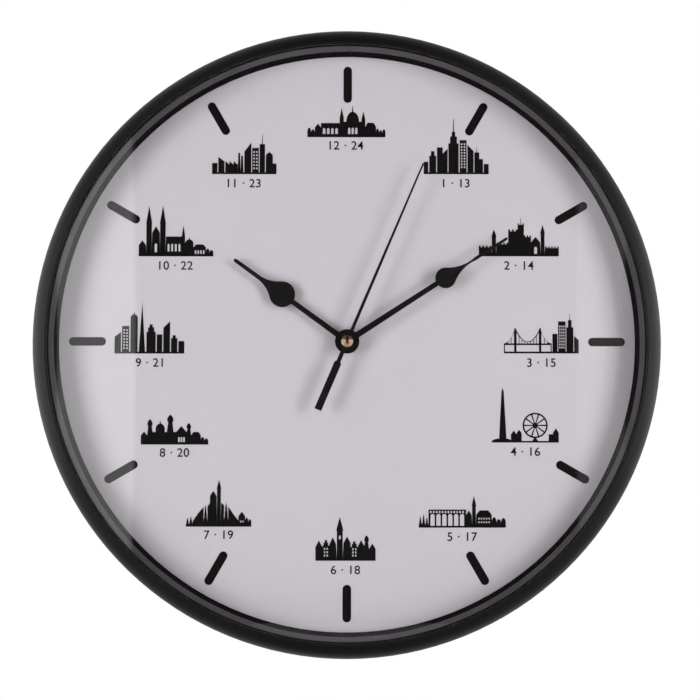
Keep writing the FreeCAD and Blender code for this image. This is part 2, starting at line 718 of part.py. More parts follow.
def movement_rear_case():
    shell = movement_block(MOVEMENT_REAR, SPLIT_HEIGHT, 0.0)
    shell = shell.cut(movement_block(INSIDE_REAR, SPLIT_HEIGHT + OVERRUN, MOVEMENT_WALL))
    wall_end = INSIDE_HALF - BAY_END_GAP
    parts = [box(-wall_end, wall_end, BAY_TOP, BAY_WALL_TOP, MOVEMENT_REAR, SPLIT_HEIGHT)]
    boss_base = MOVEMENT_REAR + MOVEMENT_WALL / 2
    pivots = (AXIS, THIRD_AXIS, INTERMEDIATE_AXIS, ROTOR_AXIS)
    for centre in pivots:
        parts.append(rod(PIVOT_BOSS_RADIUS, boss_base, INSIDE_REAR + PIVOT_BOSS_HEIGHT, centre))
    for centre in stator_posts():
        parts.append(rod(POST_RADIUS, boss_base, STATOR_BOTTOM, centre))
    for centre in board_posts():
        parts.append(rod(POST_RADIUS, boss_base, BOARD_BOTTOM, centre))
    outer = MOVEMENT_SIDE / 2
    tongue_bottom = SPLIT_HEIGHT - TONGUE_BELOW
    tongue_top = tongue_bottom + TONGUE_LENGTH
    for side, y in tongue_places():
        slip = BARB_CLEARANCE
        parts.append(side_box(side, outer - MOVEMENT_WALL / 2, outer + TONGUE_THICK, y, TONGUE_WIDTH,
                              tongue_bottom, SPLIT_HEIGHT))
        parts.append(side_box(side, outer + slip, outer + TONGUE_THICK, y, TONGUE_WIDTH,
                              SPLIT_HEIGHT, tongue_top))
        parts.append(side_box(side, outer - BARB_DEPTH, outer + TONGUE_THICK, y, TONGUE_WIDTH,
                              tongue_top - BARB_HEIGHT, tongue_top))
    shell = shell.fuse(parts)
    cuts = [
        box(-wall_end, wall_end, -INSIDE_HALF, BAY_TOP, MOVEMENT_REAR - OVERRUN, INSIDE_REAR + OVERRUN),
        rod(SETTING_ARBOR_RADIUS + SETTING_FIT, MOVEMENT_REAR - OVERRUN, INSIDE_REAR + OVERRUN, SETTING_AXIS),
    ]
    for centre, radius in zip(pivots, (SECONDS_ARBOR_RADIUS, ARBOR_RADIUS, ARBOR_RADIUS, ARBOR_RADIUS)):
        cuts.append(rod(radius + PIVOT_FIT, INSIDE_REAR - PIVOT_DEPTH, INSIDE_REAR + OVERRUN, centre))
    return shell.cut(cuts).removeSplitter()


def bush_washer():
    return tube(WASHER_RADIUS, BUSH_RADIUS + BUSH_CLEARANCE, DIAL_FACE, DIAL_FACE + WASHER_THICK)


def bush_nut():
    bottom = DIAL_FACE + WASHER_THICK
    corner_radius = NUT_ACROSS / 2 / math.cos(math.radians(HALF / 6))
    corners = [polar(corner_radius, FULL / 6 * number) for number in range(6)]
    hexagon = plate(corners[-1], corners, bottom, bottom + NUT_THICK)
    hexagon = hexagon.common(rod(NUT_CORNER_RADIUS, bottom, bottom + NUT_THICK))
    return hexagon.cut(rod(BUSH_RADIUS + NUT_FIT, bottom - OVERRUN, bottom + NUT_THICK + OVERRUN))


def gear_bridge():
    solid = rounded_plate(-BRIDGE_LEFT, BRIDGE_RIGHT, -BRIDGE_BELOW, BRIDGE_ABOVE,
                          BRIDGE_BOTTOM, BRIDGE_TOP, BRIDGE_CORNER)
    low, high = BRIDGE_BOTTOM - OVERRUN, BRIDGE_TOP + OVERRUN
    cuts = [
        rod(MINUTE_TUBE_RADIUS + PIVOT_FIT, low, high),
        rod(SETTING_ARBOR_RADIUS + SETTING_FIT, low, high, SETTING_AXIS),
    ]
    for centre in (THIRD_AXIS, INTERMEDIATE_AXIS, ROTOR_AXIS):
        cuts.append(rod(ARBOR_RADIUS + PIVOT_FIT, low, high, centre))
    return solid.cut(cuts)


# Train and motion work

def level(depth):
    """Height above the wall of a depth behind the inside of the movement's front wall."""
    return INSIDE_FRONT - depth


def arbor(radius, z1, centre):
    return rod(radius, INSIDE_REAR - PIVOT_DEPTH + PIVOT_FIT, z1, centre)


SECONDS_PHASES = mesh_phases(INTERMEDIATE_ANGLE, INTERMEDIATE_PINION_TEETH)
ROTOR_PHASES = mesh_phases(ROTOR_ANGLE, ROTOR_PINION_TEETH)
THIRD_PHASES = mesh_phases(THIRD_ANGLE, THIRD_WHEEL_TEETH)
MINUTE_PHASES = mesh_phases(THIRD_ANGLE, THIRD_PINION_TEETH)
SETTING_PHASES = mesh_phases(SETTING_ANGLE, SETTING_WHEEL_TEETH)
HOUR_PHASES = mesh_phases(SETTING_ANGLE, SETTING_PINION_TEETH)


def geared(teeth, mod, depth, thick, centre, phase):
    return gear(teeth, mod, level(depth) - thick, level(depth), centre, phase)


def seconds_wheel():
    shaft = arbor(SECONDS_ARBOR_RADIUS, DIAL_FACE + SECONDS_ARBOR_RISE, AXIS)
    wheel = geared(SECONDS_WHEEL_TEETH, SECONDS_MODULE, SECONDS_WHEEL_LEVEL, SECONDS_WHEEL_THICK,
                   AXIS, SECONDS_PHASES[0])
    pinion = geared(SECONDS_PINION_TEETH, THIRD_MODULE, SECONDS_PINION_LEVEL, SECONDS_PINION_THICK,
                    AXIS, THIRD_PHASES[0])
    hub = rod(SECONDS_PINION_TEETH * THIRD_MODULE / 2, level(SECONDS_WHEEL_LEVEL),
              level(SECONDS_PINION_LEVEL + SECONDS_PINION_THICK))
    return shaft.fuse([wheel, pinion, hub])


def intermediate_wheel():
    centre = INTERMEDIATE_AXIS
    shaft = arbor(ARBOR_RADIUS, BRIDGE_TOP - PIVOT_FIT, centre)
    wheel = geared(INTERMEDIATE_WHEEL_TEETH, ROTOR_MODULE, INTERMEDIATE_WHEEL_LEVEL, INTERMEDIATE_WHEEL_THICK,
                   centre, ROTOR_PHASES[0])
    pinion_thick = INTERMEDIATE_WHEEL_LEVEL - INTERMEDIATE_PINION_LEVEL
    pinion = geared(INTERMEDIATE_PINION_TEETH, SECONDS_MODULE, INTERMEDIATE_PINION_LEVEL, pinion_thick,
                    centre, SECONDS_PHASES[1])
    return shaft.fuse([wheel, pinion])


def rotor_pinion():
    centre = ROTOR_AXIS
    shaft = arbor(ARBOR_RADIUS, BRIDGE_TOP - PIVOT_FIT, centre)
    pinion = geared(ROTOR_PINION_TEETH, ROTOR_MODULE, ROTOR_PINION_LEVEL, ROTOR_PINION_THICK,
                    centre, ROTOR_PHASES[1])
    magnet_bottom = level(MAGNET_LEVEL + MAGNET_THICK)
    hub = rod(MAGNET_BORE, level(ROTOR_PINION_LEVEL), level(MAGNET_LEVEL) + MAGNET_FLANGE_THICK, centre)
    flange = rod(MAGNET_FLANGE_RADIUS, magnet_bottom - MAGNET_FLANGE_THICK, magnet_bottom, centre)
    return shaft.fuse([pinion, hub, flange])


def rotor_magnet():
    return tube(MAGNET_RADIUS, MAGNET_BORE, level(MAGNET_LEVEL + MAGNET_THICK), level(MAGNET_LEVEL), ROTOR_AXIS)


def third_wheel():
    centre = THIRD_AXIS
    shaft = arbor(ARBOR_RADIUS, BRIDGE_TOP - PIVOT_FIT, centre)
    wheel = geared(THIRD_WHEEL_TEETH, THIRD_MODULE, THIRD_WHEEL_LEVEL, THIRD_WHEEL_THICK,
                   centre, THIRD_PHASES[1])
    pinion = geared(THIRD_PINION_TEETH, MINUTE_MODULE, THIRD_PINION_LEVEL,
                    THIRD_WHEEL_LEVEL - THIRD_PINION_LEVEL, centre, MINUTE_PHASES[1])
    return shaft.fuse([wheel, pinion])


def minute_wheel():
    wheel = geared(MINUTE_WHEEL_TEETH, MINUTE_MODULE, MINUTE_WHEEL_LEVEL, MINUTE_WHEEL_THICK,
                   AXIS, MINUTE_PHASES[0])
    return wheel.cut(rod(MINUTE_TUBE_RADIUS + TUBE_FIT, 0.0, CASE_DEPTH))


def friction_spring():
    bottom = level(MINUTE_WHEEL_LEVEL) + SPRING_WAVE_GAP / 2
    return tube(SPRING_RADIUS, MINUTE_TUBE_RADIUS + TUBE_FIT, bottom, bottom + SPRING_THICK)


def minute_arbor():
    foot = level(MINUTE_WHEEL_LEVEL + MINUTE_WHEEL_THICK) - TUBE_FIT
    pinion = geared(CANNON_PINION_TEETH, SETTING_MODULE, CANNON_LEVEL, CANNON_THICK, AXIS, SETTING_PHASES[0])
    stem = rod(MINUTE_TUBE_RADIUS, foot - TUBE_FOOT_THICK, DIAL_FACE + MINUTE_TUBE_RISE)
    stem = stem.fuse([pinion, rod(TUBE_FOOT_RADIUS, foot - TUBE_FOOT_THICK, foot)])
    return stem.cut(rod(MINUTE_TUBE_BORE, 0.0, CASE_DEPTH))


def setting_wheel():
    centre = SETTING_AXIS
    shaft = rod(SETTING_ARBOR_RADIUS, MOVEMENT_REAR - KNOB_GAP - KNOB_THICK / 2,
                level(SETTING_WHEEL_LEVEL), centre)
    pivot_top = INSIDE_FRONT + PIVOT_DEPTH - PIVOT_FIT
    pivot = rod(SECONDS_ARBOR_RADIUS, level(SETTING_WHEEL_LEVEL), pivot_top, centre)
    wheel = geared(SETTING_WHEEL_TEETH, SETTING_MODULE, SETTING_WHEEL_LEVEL, SETTING_WHEEL_THICK,
                   centre, SETTING_PHASES[1])
    pinion = geared(SETTING_PINION_TEETH, HOUR_MODULE, HOUR_WHEEL_LEVEL,
                    SETTING_WHEEL_LEVEL - HOUR_WHEEL_LEVEL, centre, HOUR_PHASES[1])
    return shaft.fuse([pivot, wheel, pinion])


def setting_knob():
    top = MOVEMENT_REAR - KNOB_GAP
    bottom = top - KNOB_THICK
    solid = rod(KNOB_RADIUS, bottom, top, SETTING_AXIS)
    cuts = [
        rod(SETTING_ARBOR_RADIUS, top - KNOB_THICK / 2, top + OVERRUN, SETTING_AXIS),
        rod(KNOB_DISH_RADIUS, bottom - OVERRUN, bottom + KNOB_DISH_DEPTH, SETTING_AXIS),
    ]
    for number in range(KNOB_GRIPS):
        x, y = polar(KNOB_RADIUS, FULL / KNOB_GRIPS * number)
        centre = (SETTING_AXIS[0] + x, SETTING_AXIS[1] + y)
        cuts.append(rod(KNOB_GRIP_RADIUS, bottom - OVERRUN, top + OVERRUN, centre))
    return solid.cut(cuts)


def hour_wheel():
    wheel = geared(HOUR_WHEEL_TEETH, HOUR_MODULE, HOUR_WHEEL_LEVEL, HOUR_WHEEL_THICK, AXIS, HOUR_PHASES[0])
    stem = rod(HOUR_TUBE_RADIUS, level(HOUR_WHEEL_LEVEL + HOUR_WHEEL_THICK), DIAL_FACE + HOUR_TUBE_RISE)
    return stem.fuse(wheel).cut(rod(HOUR_TUBE_BORE, 0.0, CASE_DEPTH))


# Hands, drawn pointing up and then turned clockwise to their place

def spade_outline(stem, stem_end, bulb_place, bulb_radius, neck_place, needle, tip, length):
    """Right-hand half of a spade hand from the axis to its tip."""
    foot = math.sqrt(bulb_radius ** 2 - (stem_end / 2) ** 2)
    start = math.radians(FLANK_START_ANGLE)
    flank = (bulb_radius * math.cos(start), bulb_place + bulb_radius * math.sin(start))
    neck = (needle / 2, neck_place)
    sag = math.hypot(neck[0] - flank[0], neck[1] - flank[1]) * FLANK_SAG_SHARE
    return [
        (stem / 2, 0.0),
        (stem_end / 2, bulb_place - foot),
        ((bulb_radius * math.cos(-start), bulb_place - bulb_radius * math.sin(start)), flank),
        (bowed(flank, neck, sag), neck),
        (tip / 2, length - tip / 2),
    ]


def mirrored(p):
    return (-p[0], p[1])


def spade_hand(outline, boss_radius, rise, bore, angle):
    bottom = DIAL_FACE + rise
    top = bottom + HAND_THICK
    right = outline
    tip = right[-1]
    steps = list(right[1:])
    steps.append(((0.0, tip[1] + tip[0]), mirrored(tip)))
    ends = [s[1] if isinstance(s[0], tuple) else s for s in right]
    for number in range(len(right) - 1, 0, -1):
        before = mirrored(ends[number - 1])
        step = right[number]
        steps.append((mirrored(step[0]), before) if isinstance(step[0], tuple) else before)
    steps.append(right[0])
    blade = plate(right[0], steps, bottom, top)
    hub = rod(bore + HUB_WALL, bottom - HUB_BELOW, top + HUB_ABOVE)
    solid = blade.fuse([rod(boss_radius, bottom, top), hub])
    solid = solid.cut(rod(bore, 0.0, CASE_DEPTH))
    return spun(solid.removeSplitter(), -angle)


def hour_hand():
    outline = spade_outline(HOUR_STEM_WIDTH, HOUR_STEM_END_WIDTH, HOUR_BULB_PLACE, HOUR_BULB_RADIUS,
                            HOUR_NECK_PLACE, HOUR_NEEDLE_WIDTH, HOUR_TIP_WIDTH, HOUR_LENGTH)
    return spade_hand(outline, HOUR_BOSS_RADIUS, HOUR_HAND_RISE, HOUR_TUBE_RADIUS, HOUR_ANGLE)


def minute_hand():
    outline = spade_outline(MINUTE_STEM_WIDTH, MINUTE_STEM_END_WIDTH, MINUTE_BULB_PLACE, MINUTE_BULB_RADIUS,
                            MINUTE_NECK_PLACE, MINUTE_NEEDLE_WIDTH, MINUTE_TIP_WIDTH, MINUTE_LENGTH)
    return spade_hand(outline, MINUTE_BOSS_RADIUS, MINUTE_HAND_RISE, MINUTE_TUBE_RADIUS, MINUTE_ANGLE)


def seconds_hand():
    bottom = DIAL_FACE + SECONDS_HAND_RISE
    top = bottom + SECONDS_HAND_THICK
    root, tip = SECONDS_ROOT_WIDTH / 2, SECONDS_TIP_WIDTH / 2
    neck, tail = TAIL_NECK_WIDTH / 2, TAIL_WIDTH / 2
    right = [
        (tip, SECONDS_LENGTH),
        (root, 0.0),
        (neck, 0.0),
        (neck, -TAIL_START),
        (tail, -TAIL_START - TAIL_CHAMFER),
        (tail, -TAIL_LENGTH),
    ]
    left = [mirrored(p) for p in reversed(right)]
    blade = plate(left[-1], right + left, bottom, top)
    hub = rod(SECONDS_HUB_RADIUS, bottom - SECONDS_HUB_BELOW, top)
    solid = blade.fuse([rod(SECONDS_BOSS_RADIUS, bottom, top), hub])
    solid = solid.cut(rod(SECONDS_ARBOR_RADIUS, 0.0, CASE_DEPTH))
    return spun(solid.removeSplitter(), -SECONDS_ANGLE)


def hand_cap():
    bottom = DIAL_FACE + SECONDS_HAND_RISE + SECONDS_HAND_THICK
    rim = bottom + CAP_RIM
    top = bottom + CAP_HEIGHT
    rise = top - rim
    dome_radius = (CAP_RADIUS ** 2 + rise ** 2) / (2 * rise)
    half_reach = CAP_RADIUS / 2
    middle = (half_reach, top - dome_radius + math.sqrt(dome_radius ** 2 - half_reach ** 2))
    hole_top = DIAL_FACE + SECONDS_ARBOR_RISE
    return turned((SECONDS_ARBOR_RADIUS, bottom), [
        (CAP_RADIUS, bottom),
        (CAP_RADIUS, rim),
        (middle, (0.0, top)),
        (0.0, hole_top),
        (SECONDS_ARBOR_RADIUS, hole_top),
        (SECONDS_ARBOR_RADIUS, bottom),
    ])


# Motor and circuit

def stator_posts():
    bar_middle = (STATOR_BAR_BELOW + STATOR_BAR_ABOVE) / 2
    left = STATOR_LEFT + STATOR_ARM / 2
    right = STATOR_RIGHT - STATOR_ARM / 2
    return [(left, bar_middle), (right, bar_middle), (right, COIL_HEIGHT), (left, COIL_HEIGHT)]


def board_posts():
    left, right = BOARD_LEFT + 2 * POST_RADIUS, BOARD_RIGHT - 2 * POST_RADIUS
    low, high = BOARD_BELOW + 2 * POST_RADIUS, BOARD_ABOVE - 2 * POST_RADIUS
    return [(left, low), (right, low), (left, high), (right, high)]


def stator():
    arm_top = COIL_HEIGHT + CORE_WIDTH / 2
    block = box(STATOR_BLOCK_LEFT, STATOR_RIGHT, STATOR_BLOCK_BELOW, STATOR_BAR_ABOVE,
                STATOR_BOTTOM, STATOR_TOP)
    bar = box(STATOR_LEFT, STATOR_RIGHT, STATOR_BAR_BELOW, STATOR_BAR_ABOVE, STATOR_BOTTOM, STATOR_TOP)
    left = box(STATOR_LEFT, STATOR_LEFT + STATOR_ARM, STATOR_BAR_BELOW, arm_top, STATOR_BOTTOM, STATOR_TOP)
    right = box(STATOR_RIGHT - STATOR_ARM, STATOR_RIGHT, STATOR_BAR_BELOW, arm_top, STATOR_BOTTOM, STATOR_TOP)
    low, high = STATOR_BOTTOM - OVERRUN, STATOR_TOP + OVERRUN
    cuts = [rod(STATOR_HOLE_RADIUS, low, high, ROTOR_AXIS)]
    for sign in (-1, 1):
        notch = (ROTOR_AXIS[0], ROTOR_AXIS[1] + sign * STATOR_HOLE_RADIUS)
        cuts.append(rod(STATOR_NOTCH_RADIUS, low, high, notch))
    return block.fuse([bar, left, right]).cut(cuts).removeSplitter()


def coil_core():
    return box(STATOR_LEFT, STATOR_RIGHT, COIL_HEIGHT - CORE_WIDTH / 2, COIL_HEIGHT + CORE_WIDTH / 2,
               STATOR_TOP, STATOR_TOP + CORE_THICK)


BOBBIN_LEFT = STATOR_LEFT + STATOR_ARM + BOBBIN_GAP
BOBBIN_RIGHT = STATOR_RIGHT - STATOR_ARM - BOBBIN_GAP
BOBBIN_RADIUS = math.hypot(CORE_WIDTH / 2, CORE_THICK / 2) + BOBBIN_WALL


def lying_rod(radius, x0, x1, y, z):
    return Part.makeCylinder(radius, x1 - x0, Vec(x0, y, z), Vec(1, 0, 0))


def coil_bobbin():
    barrel = lying_rod(BOBBIN_RADIUS, BOBBIN_LEFT, BOBBIN_RIGHT, COIL_HEIGHT, CORE_MIDDLE)
    flanges = [
        lying_rod(BOBBIN_FLANGE_RADIUS, x, x + BOBBIN_FLANGE_THICK, COIL_HEIGHT, CORE_MIDDLE)
        for x in (BOBBIN_LEFT, BOBBIN_RIGHT - BOBBIN_FLANGE_THICK)
    ]
    half_width = CORE_WIDTH / 2 + BOBBIN_FIT
    half_thick = CORE_THICK / 2 + BOBBIN_FIT
    hole = box(BOBBIN_LEFT - OVERRUN, BOBBIN_RIGHT + OVERRUN,
               COIL_HEIGHT - half_width, COIL_HEIGHT + half_width,
               CORE_MIDDLE - half_thick, CORE_MIDDLE + half_thick)
    return barrel.fuse(flanges).cut(hole)


def coil_winding():
    x0, x1 = BOBBIN_LEFT + BOBBIN_FLANGE_THICK, BOBBIN_RIGHT - BOBBIN_FLANGE_THICK
    outer = lying_rod(WINDING_RADIUS, x0, x1, COIL_HEIGHT, CORE_MIDDLE)
    return outer.cut(lying_rod(BOBBIN_RADIUS, x0 - OVERRUN, x1 + OVERRUN, COIL_HEIGHT, CORE_MIDDLE))


def circuit_board():
    return rounded_plate(BOARD_LEFT, BOARD_RIGHT, BOARD_BELOW, BOARD_ABOVE,
                         BOARD_BOTTOM, BOARD_TOP, POST_RADIUS)


def circuit_chip():
    dome_radius = (CHIP_RADIUS ** 2 + CHIP_HEIGHT ** 2) / (2 * CHIP_HEIGHT)
    top = BOARD_TOP + CHIP_HEIGHT
    ball = Part.makeSphere(dome_radius, Vec(CHIP_X, CHIP_Y, top - dome_radius))
    return ball.common(rod(CHIP_RADIUS + OVERRUN, BOARD_TOP, top + OVERRUN, (CHIP_X, CHIP_Y)))


def quartz_crystal():
    end = CRYSTAL_X + CRYSTAL_LENGTH
    return lying_rod(CRYSTAL_RADIUS, CRYSTAL_X, end, CRYSTAL_Y, BOARD_TOP + CRYSTAL_RADIUS)


# Battery and contacts

def cell_rod(radius, x0, x1):
    return lying_rod(radius, x0, x1, CELL_Y, CELL_Z)


def battery_cell():
    half = CELL_LENGTH / 2
    can = cell_rod(CELL_RADIUS, -half, half - TERMINAL_LENGTH)
    ends = [e for e in can.Edges if len(e.Vertexes) == 1]
    return can.makeFillet(CELL_ROUND, ends)


def battery_terminal():
    half = CELL_LENGTH / 2
    return cell_rod(TERMINAL_RADIUS, half - TERMINAL_LENGTH, half)


def contact_strip(points, z0, z1):
    """Strip of sheet on edge, along straight runs between two heights."""
    strip = rod(STRIP_THICK / 2, z0, z1, points[0])
    for a, b in zip(points, points[1:]):
        length = math.hypot(b[0] - a[0], b[1] - a[1])
        side_x = (b[1] - a[1]) / length * STRIP_THICK / 2
        side_y = (a[0] - b[0]) / length * STRIP_THICK / 2
        left, right = (a[0] - side_x, a[1] - side_y), (a[0] + side_x, a[1] + side_y)
        run = plate(left, [right, (b[0] + side_x, b[1] + side_y), (b[0] - side_x, b[1] - side_y), left], z0, z1)
        strip = strip.fuse([run, rod(STRIP_THICK / 2, z0, z1, b)])
    return strip


def negative_contact():
    wall = -INSIDE_HALF
    cell_end = -CELL_LENGTH / 2 - CONTACT_PRESS_GAP
    y0, y1 = CELL_Y - CONTACT_WIDTH / 2, CELL_Y + CONTACT_WIDTH / 2
    z0, z1 = CELL_Z - CONTACT_DEPTH / 2, CELL_Z + CONTACT_DEPTH / 2
    back = box(wall, wall + CONTACT_THICK, y0, y1, z0, z1)
    leaf_half = LEAF_WIDTH / 2
    leaf_foot = wall + CONTACT_THICK / 2
    leaf = Part.Face(Part.makePolygon([
        Vec(leaf_foot, CELL_Y - leaf_half, CELL_Z - leaf_half),
        Vec(cell_end, CELL_Y - leaf_half, CELL_Z),
        Vec(cell_end, CELL_Y - leaf_half, CELL_Z + CONTACT_THICK),
        Vec(leaf_foot, CELL_Y - leaf_half, CELL_Z + leaf_half),
        Vec(leaf_foot, CELL_Y - leaf_half, CELL_Z - leaf_half),
    ])).extrude(Vec(0, LEAF_WIDTH, 0))
    strip_x = wall + STRIP_THICK / 2
    strip_bottom, strip_top = BOARD_TOP, BOARD_TOP + STRIP_WIDTH
    tail_y = BOARD_BELOW + STRIP_WIDTH
    strip = contact_strip([(strip_x, y1 - STRIP_WIDTH), (strip_x, tail_y)], strip_bottom, strip_top)
    tab = box(wall, wall + TAB_LENGTH, tail_y - STRIP_WIDTH, tail_y, BOARD_TOP, BOARD_TOP + STRIP_THICK)
    return back.fuse([leaf, strip, tab])


def positive_contact():
    wall = INSIDE_HALF
    cell_end = CELL_LENGTH / 2 + CONTACT_PRESS_GAP
    y0, y1 = CELL_Y - CONTACT_WIDTH / 2, CELL_Y + CONTACT_WIDTH / 2
    z0, z1 = CELL_Z - CONTACT_DEPTH / 2, CELL_Z + CONTACT_DEPTH / 2
    back = box(wall - CONTACT_THICK, wall, y0, y1, z0, z1)
    dimple = cell_rod(TERMINAL_RADIUS, cell_end, wall - CONTACT_THICK / 2)
    right = wall - STRIP_THICK / 2
    bend = right - MOVEMENT_CORNER
    strip_bottom, strip_top = BOARD_TOP, BOARD_TOP + STRIP_WIDTH
    route = [(right, y1 - STRIP_WIDTH), (right, bend), (bend, right), (STRIP_END, right)]
    strip = contact_strip(route, strip_bottom, strip_top)
    tab = box(STRIP_END, STRIP_END + STRIP_WIDTH, BOARD_ABOVE - TAB_LENGTH, wall,
              BOARD_TOP, BOARD_TOP + STRIP_THICK)
    return back.fuse([dimple, strip, tab])


PIECES = {
    "case_ring": case_ring,
    "glass": glass,
    "inner_ring": inner_ring,
    "dial": dial,
    "hour_marks": hour_marks,
    "hour_hand": hour_hand,
    "minute_hand": minute_hand,
    "seconds_hand": seconds_hand,
    "hand_cap": hand_cap,
    "back_plate": back_plate,
    "back_plate_screws": back_plate_screws,
    "movement_front_case": movement_front_case,
    "movement_rear_case": movement_rear_case,
    "bush_washer": bush_washer,
    "bush_nut": bush_nut,
    "gear_bridge": gear_bridge,
    "hour_wheel": hour_wheel,
    "minute_arbor": minute_arbor,
    "minute_wheel": minute_wheel,
    "friction_spring": friction_spring,
    "third_wheel": third_wheel,
    "seconds_wheel": seconds_wheel,
    "intermediate_wheel": intermediate_wheel,
    "rotor_pinion": rotor_pinion,
    "rotor_magnet": rotor_magnet,
    "setting_wheel": setting_wheel,
    "setting_knob": setting_knob,
    "stator": stator,
    "coil_core": coil_core,
    "coil_bobbin": coil_bobbin,
    "coil_winding": coil_winding,
    "circuit_board": circuit_board,
    "circuit_chip": circuit_chip,
    "quartz_crystal": quartz_crystal,
    "battery_cell": battery_cell,
    "battery_terminal": battery_terminal,
    "negative_contact": negative_contact,
    "positive_contact": positive_contact,
}


def stand(shape):
    """Turn a piece upright and bring the entry hole of the keyhole to the origin."""
    upright = shape.copy()
    upright.rotate(Vec(0, 0, 0), Vec(1, 0, 0), FULL / 4)
    upright.translate(Vec(0, 0, -HOOK_RISE))
    return upright


def main():
    os.makedirs("parts", exist_ok=True)
    for name, make in PIECES.items():
        piece = stand(make())
        if not piece.isValid() or not piece.Solids:
            raise ValueError(name + " is not a closed solid")
        piece.exportStep(os.path.join("parts", name + ".step"))
        extent = piece.BoundBox
        print("%-22s %2d solids %12.2f mm3   x %.2f..%.2f  y %.2f..%.2f  z %.2f..%.2f" % (
            name, len(piece.Solids), piece.Volume,
            extent.XMin, extent.XMax, extent.YMin, extent.YMax, extent.ZMin, extent.ZMax))


main()
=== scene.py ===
"""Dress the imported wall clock: its finishes, the printing on its dial, a pale stage and a camera."""

import math

import bpy
from bpy.props import FloatProperty, FloatVectorProperty, PointerProperty
from mathutils import Matrix, Vector


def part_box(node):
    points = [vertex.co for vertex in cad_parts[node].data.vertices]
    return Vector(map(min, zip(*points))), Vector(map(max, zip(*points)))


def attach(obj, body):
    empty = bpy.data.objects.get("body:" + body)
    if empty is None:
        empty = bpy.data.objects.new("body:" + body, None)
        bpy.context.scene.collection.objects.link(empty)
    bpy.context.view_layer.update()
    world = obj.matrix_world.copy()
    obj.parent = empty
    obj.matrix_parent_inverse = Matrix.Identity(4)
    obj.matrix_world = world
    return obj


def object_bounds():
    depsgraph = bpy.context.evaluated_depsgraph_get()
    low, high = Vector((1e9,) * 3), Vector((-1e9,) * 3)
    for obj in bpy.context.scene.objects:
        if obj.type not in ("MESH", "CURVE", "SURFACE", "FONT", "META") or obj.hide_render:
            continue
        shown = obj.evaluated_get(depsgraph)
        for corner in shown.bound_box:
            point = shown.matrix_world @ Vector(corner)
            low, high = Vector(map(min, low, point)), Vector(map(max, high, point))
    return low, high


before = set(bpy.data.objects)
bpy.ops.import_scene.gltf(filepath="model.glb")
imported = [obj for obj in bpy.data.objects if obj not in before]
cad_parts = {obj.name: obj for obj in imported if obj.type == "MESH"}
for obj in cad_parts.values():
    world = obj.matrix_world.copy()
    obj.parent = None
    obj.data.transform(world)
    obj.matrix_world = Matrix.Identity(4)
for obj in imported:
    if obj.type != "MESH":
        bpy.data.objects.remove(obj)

bl_info = {
    "name": "Townscape wall clock",
    "version": (1, 0, 0),
    "blender": (4, 5, 0),
    "location": "View3D > Sidebar > Clock",
    "description": "Finishes, dial printing and stage for a round quartz wall clock",
    "category": "Object",
}

MM = 0.001
CAD_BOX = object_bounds()
DIAL_LOW, DIAL_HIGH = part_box("dial")
DIAL_CENTRE = (DIAL_LOW + DIAL_HIGH) / 2
DIAL_FACE = DIAL_LOW.y
MARK_LOW, MARK_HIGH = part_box("hour_marks")
INK_THICK = DIAL_FACE - MARK_LOW.y

# Camera, from the photograph's own perspective
CAMERA_AWAY = 0.5
CAMERA_SIDE = 0.0047
CAMERA_LOW = -0.0174
CAMERA_TILT = (-2.2, 0.27, -0.08)
CAMERA_LENS = 53.51
SENSOR = 36.0
CAMERA_SHIFT = (-0.0171, -0.0171)

# Where the inner ring's steep wall ends and where its slope ends, as radii, and how softly they turn; the
# slope between them carries a painted reflection of the dial
RING_WALL_END = 0.13855
RING_SLOPE_END = 0.1404
WALL_BLEND = 0.1 * MM
SLOPE_BLEND = 0.2 * MM

# The room as mirrors show it: how bright it is in front
MIRRORED_ROOM = 0.02

# Its bright strips: start, end and width of the soft edges, as the direction's X, and the brightness
STRIPS = (
    ((-0.274, -0.21, 0.004), 0.95), ((0.208, 0.247, 0.004), 0.38),
    ((-2.0, -0.292, 0.004), 1.2), ((0.280, 2.0, 0.004), 1.2),
)

# How high the strips reach, as the direction's Z, what is left of them above, and where the white room begins
STRIP_TOP = (0.15, 0.42)
STRIP_REST = 0.12
BEHIND = (0.35, 0.85)

# How far from the origin the floor starts and ends its run into white, and how white it is near the clock
FADE_START = 0.26
FADE_END = 0.44
FLOOR_WHITE = 0.6
FLOOR_HALF = 0.8

# Lamps: angle to the side, angle upwards, distance and size
SIDE_LAMP = (50, 3, 1.0, (0.36, 0.7))
UPPER_LAMP = (0, 62, 1.0, (0.8, 0.35))
LOWER_LAMP = (0, -62, 1.0, (0.8, 0.35))
WHITE = (1.0, 1.0, 1.0)
WARM = (1.0, 0.97, 0.94)
REAR_LAMPS = ((145, 35), (-150, 30))
REAR_LAMP_AWAY = 1.3
REAR_LAMP_SIZE = (0.9, 0.9)

# The numerals' letter spacing, where 1 is the font's own
NUMERAL_SPACING = 1.06

# Points of an outline that lie closer than this, in metres, count as one
NEAR = 0.000005

# Height of the ground on which the townscapes' buildings stand
GROUND = 0.9

# The battery's plain two-colour jacket: how long the copper end is, how sharp the change, colours and coat
JACKET_END = 13.6 * MM
JACKET_EDGE = 0.1 * MM
JACKET_BLACK = (0.018, 0.020, 0.024)
JACKET_COPPER = (0.50, 0.29, 0.12)
JACKET_COAT = 0.4
JACKET_COAT_ROUGHNESS = 0.15

# The glass, and the faint smears on it: waves a metre, the part of the noise used, and how rough they get
GLASS_COLOUR = (0.985, 0.995, 0.99)
GLASS_IOR = 1.5
SMEAR_WAVES = 22.0
SMEAR_NOISE = (0.35, 0.75)
SMEAR_ROUGHNESS = (0.005, 0.03)


# Settings


def colour_setting(name, description, default):
    """A setting for a colour."""
    return FloatVectorProperty(
        name=name, description=description, subtype="COLOR", default=default, min=0.0, max=1.0)


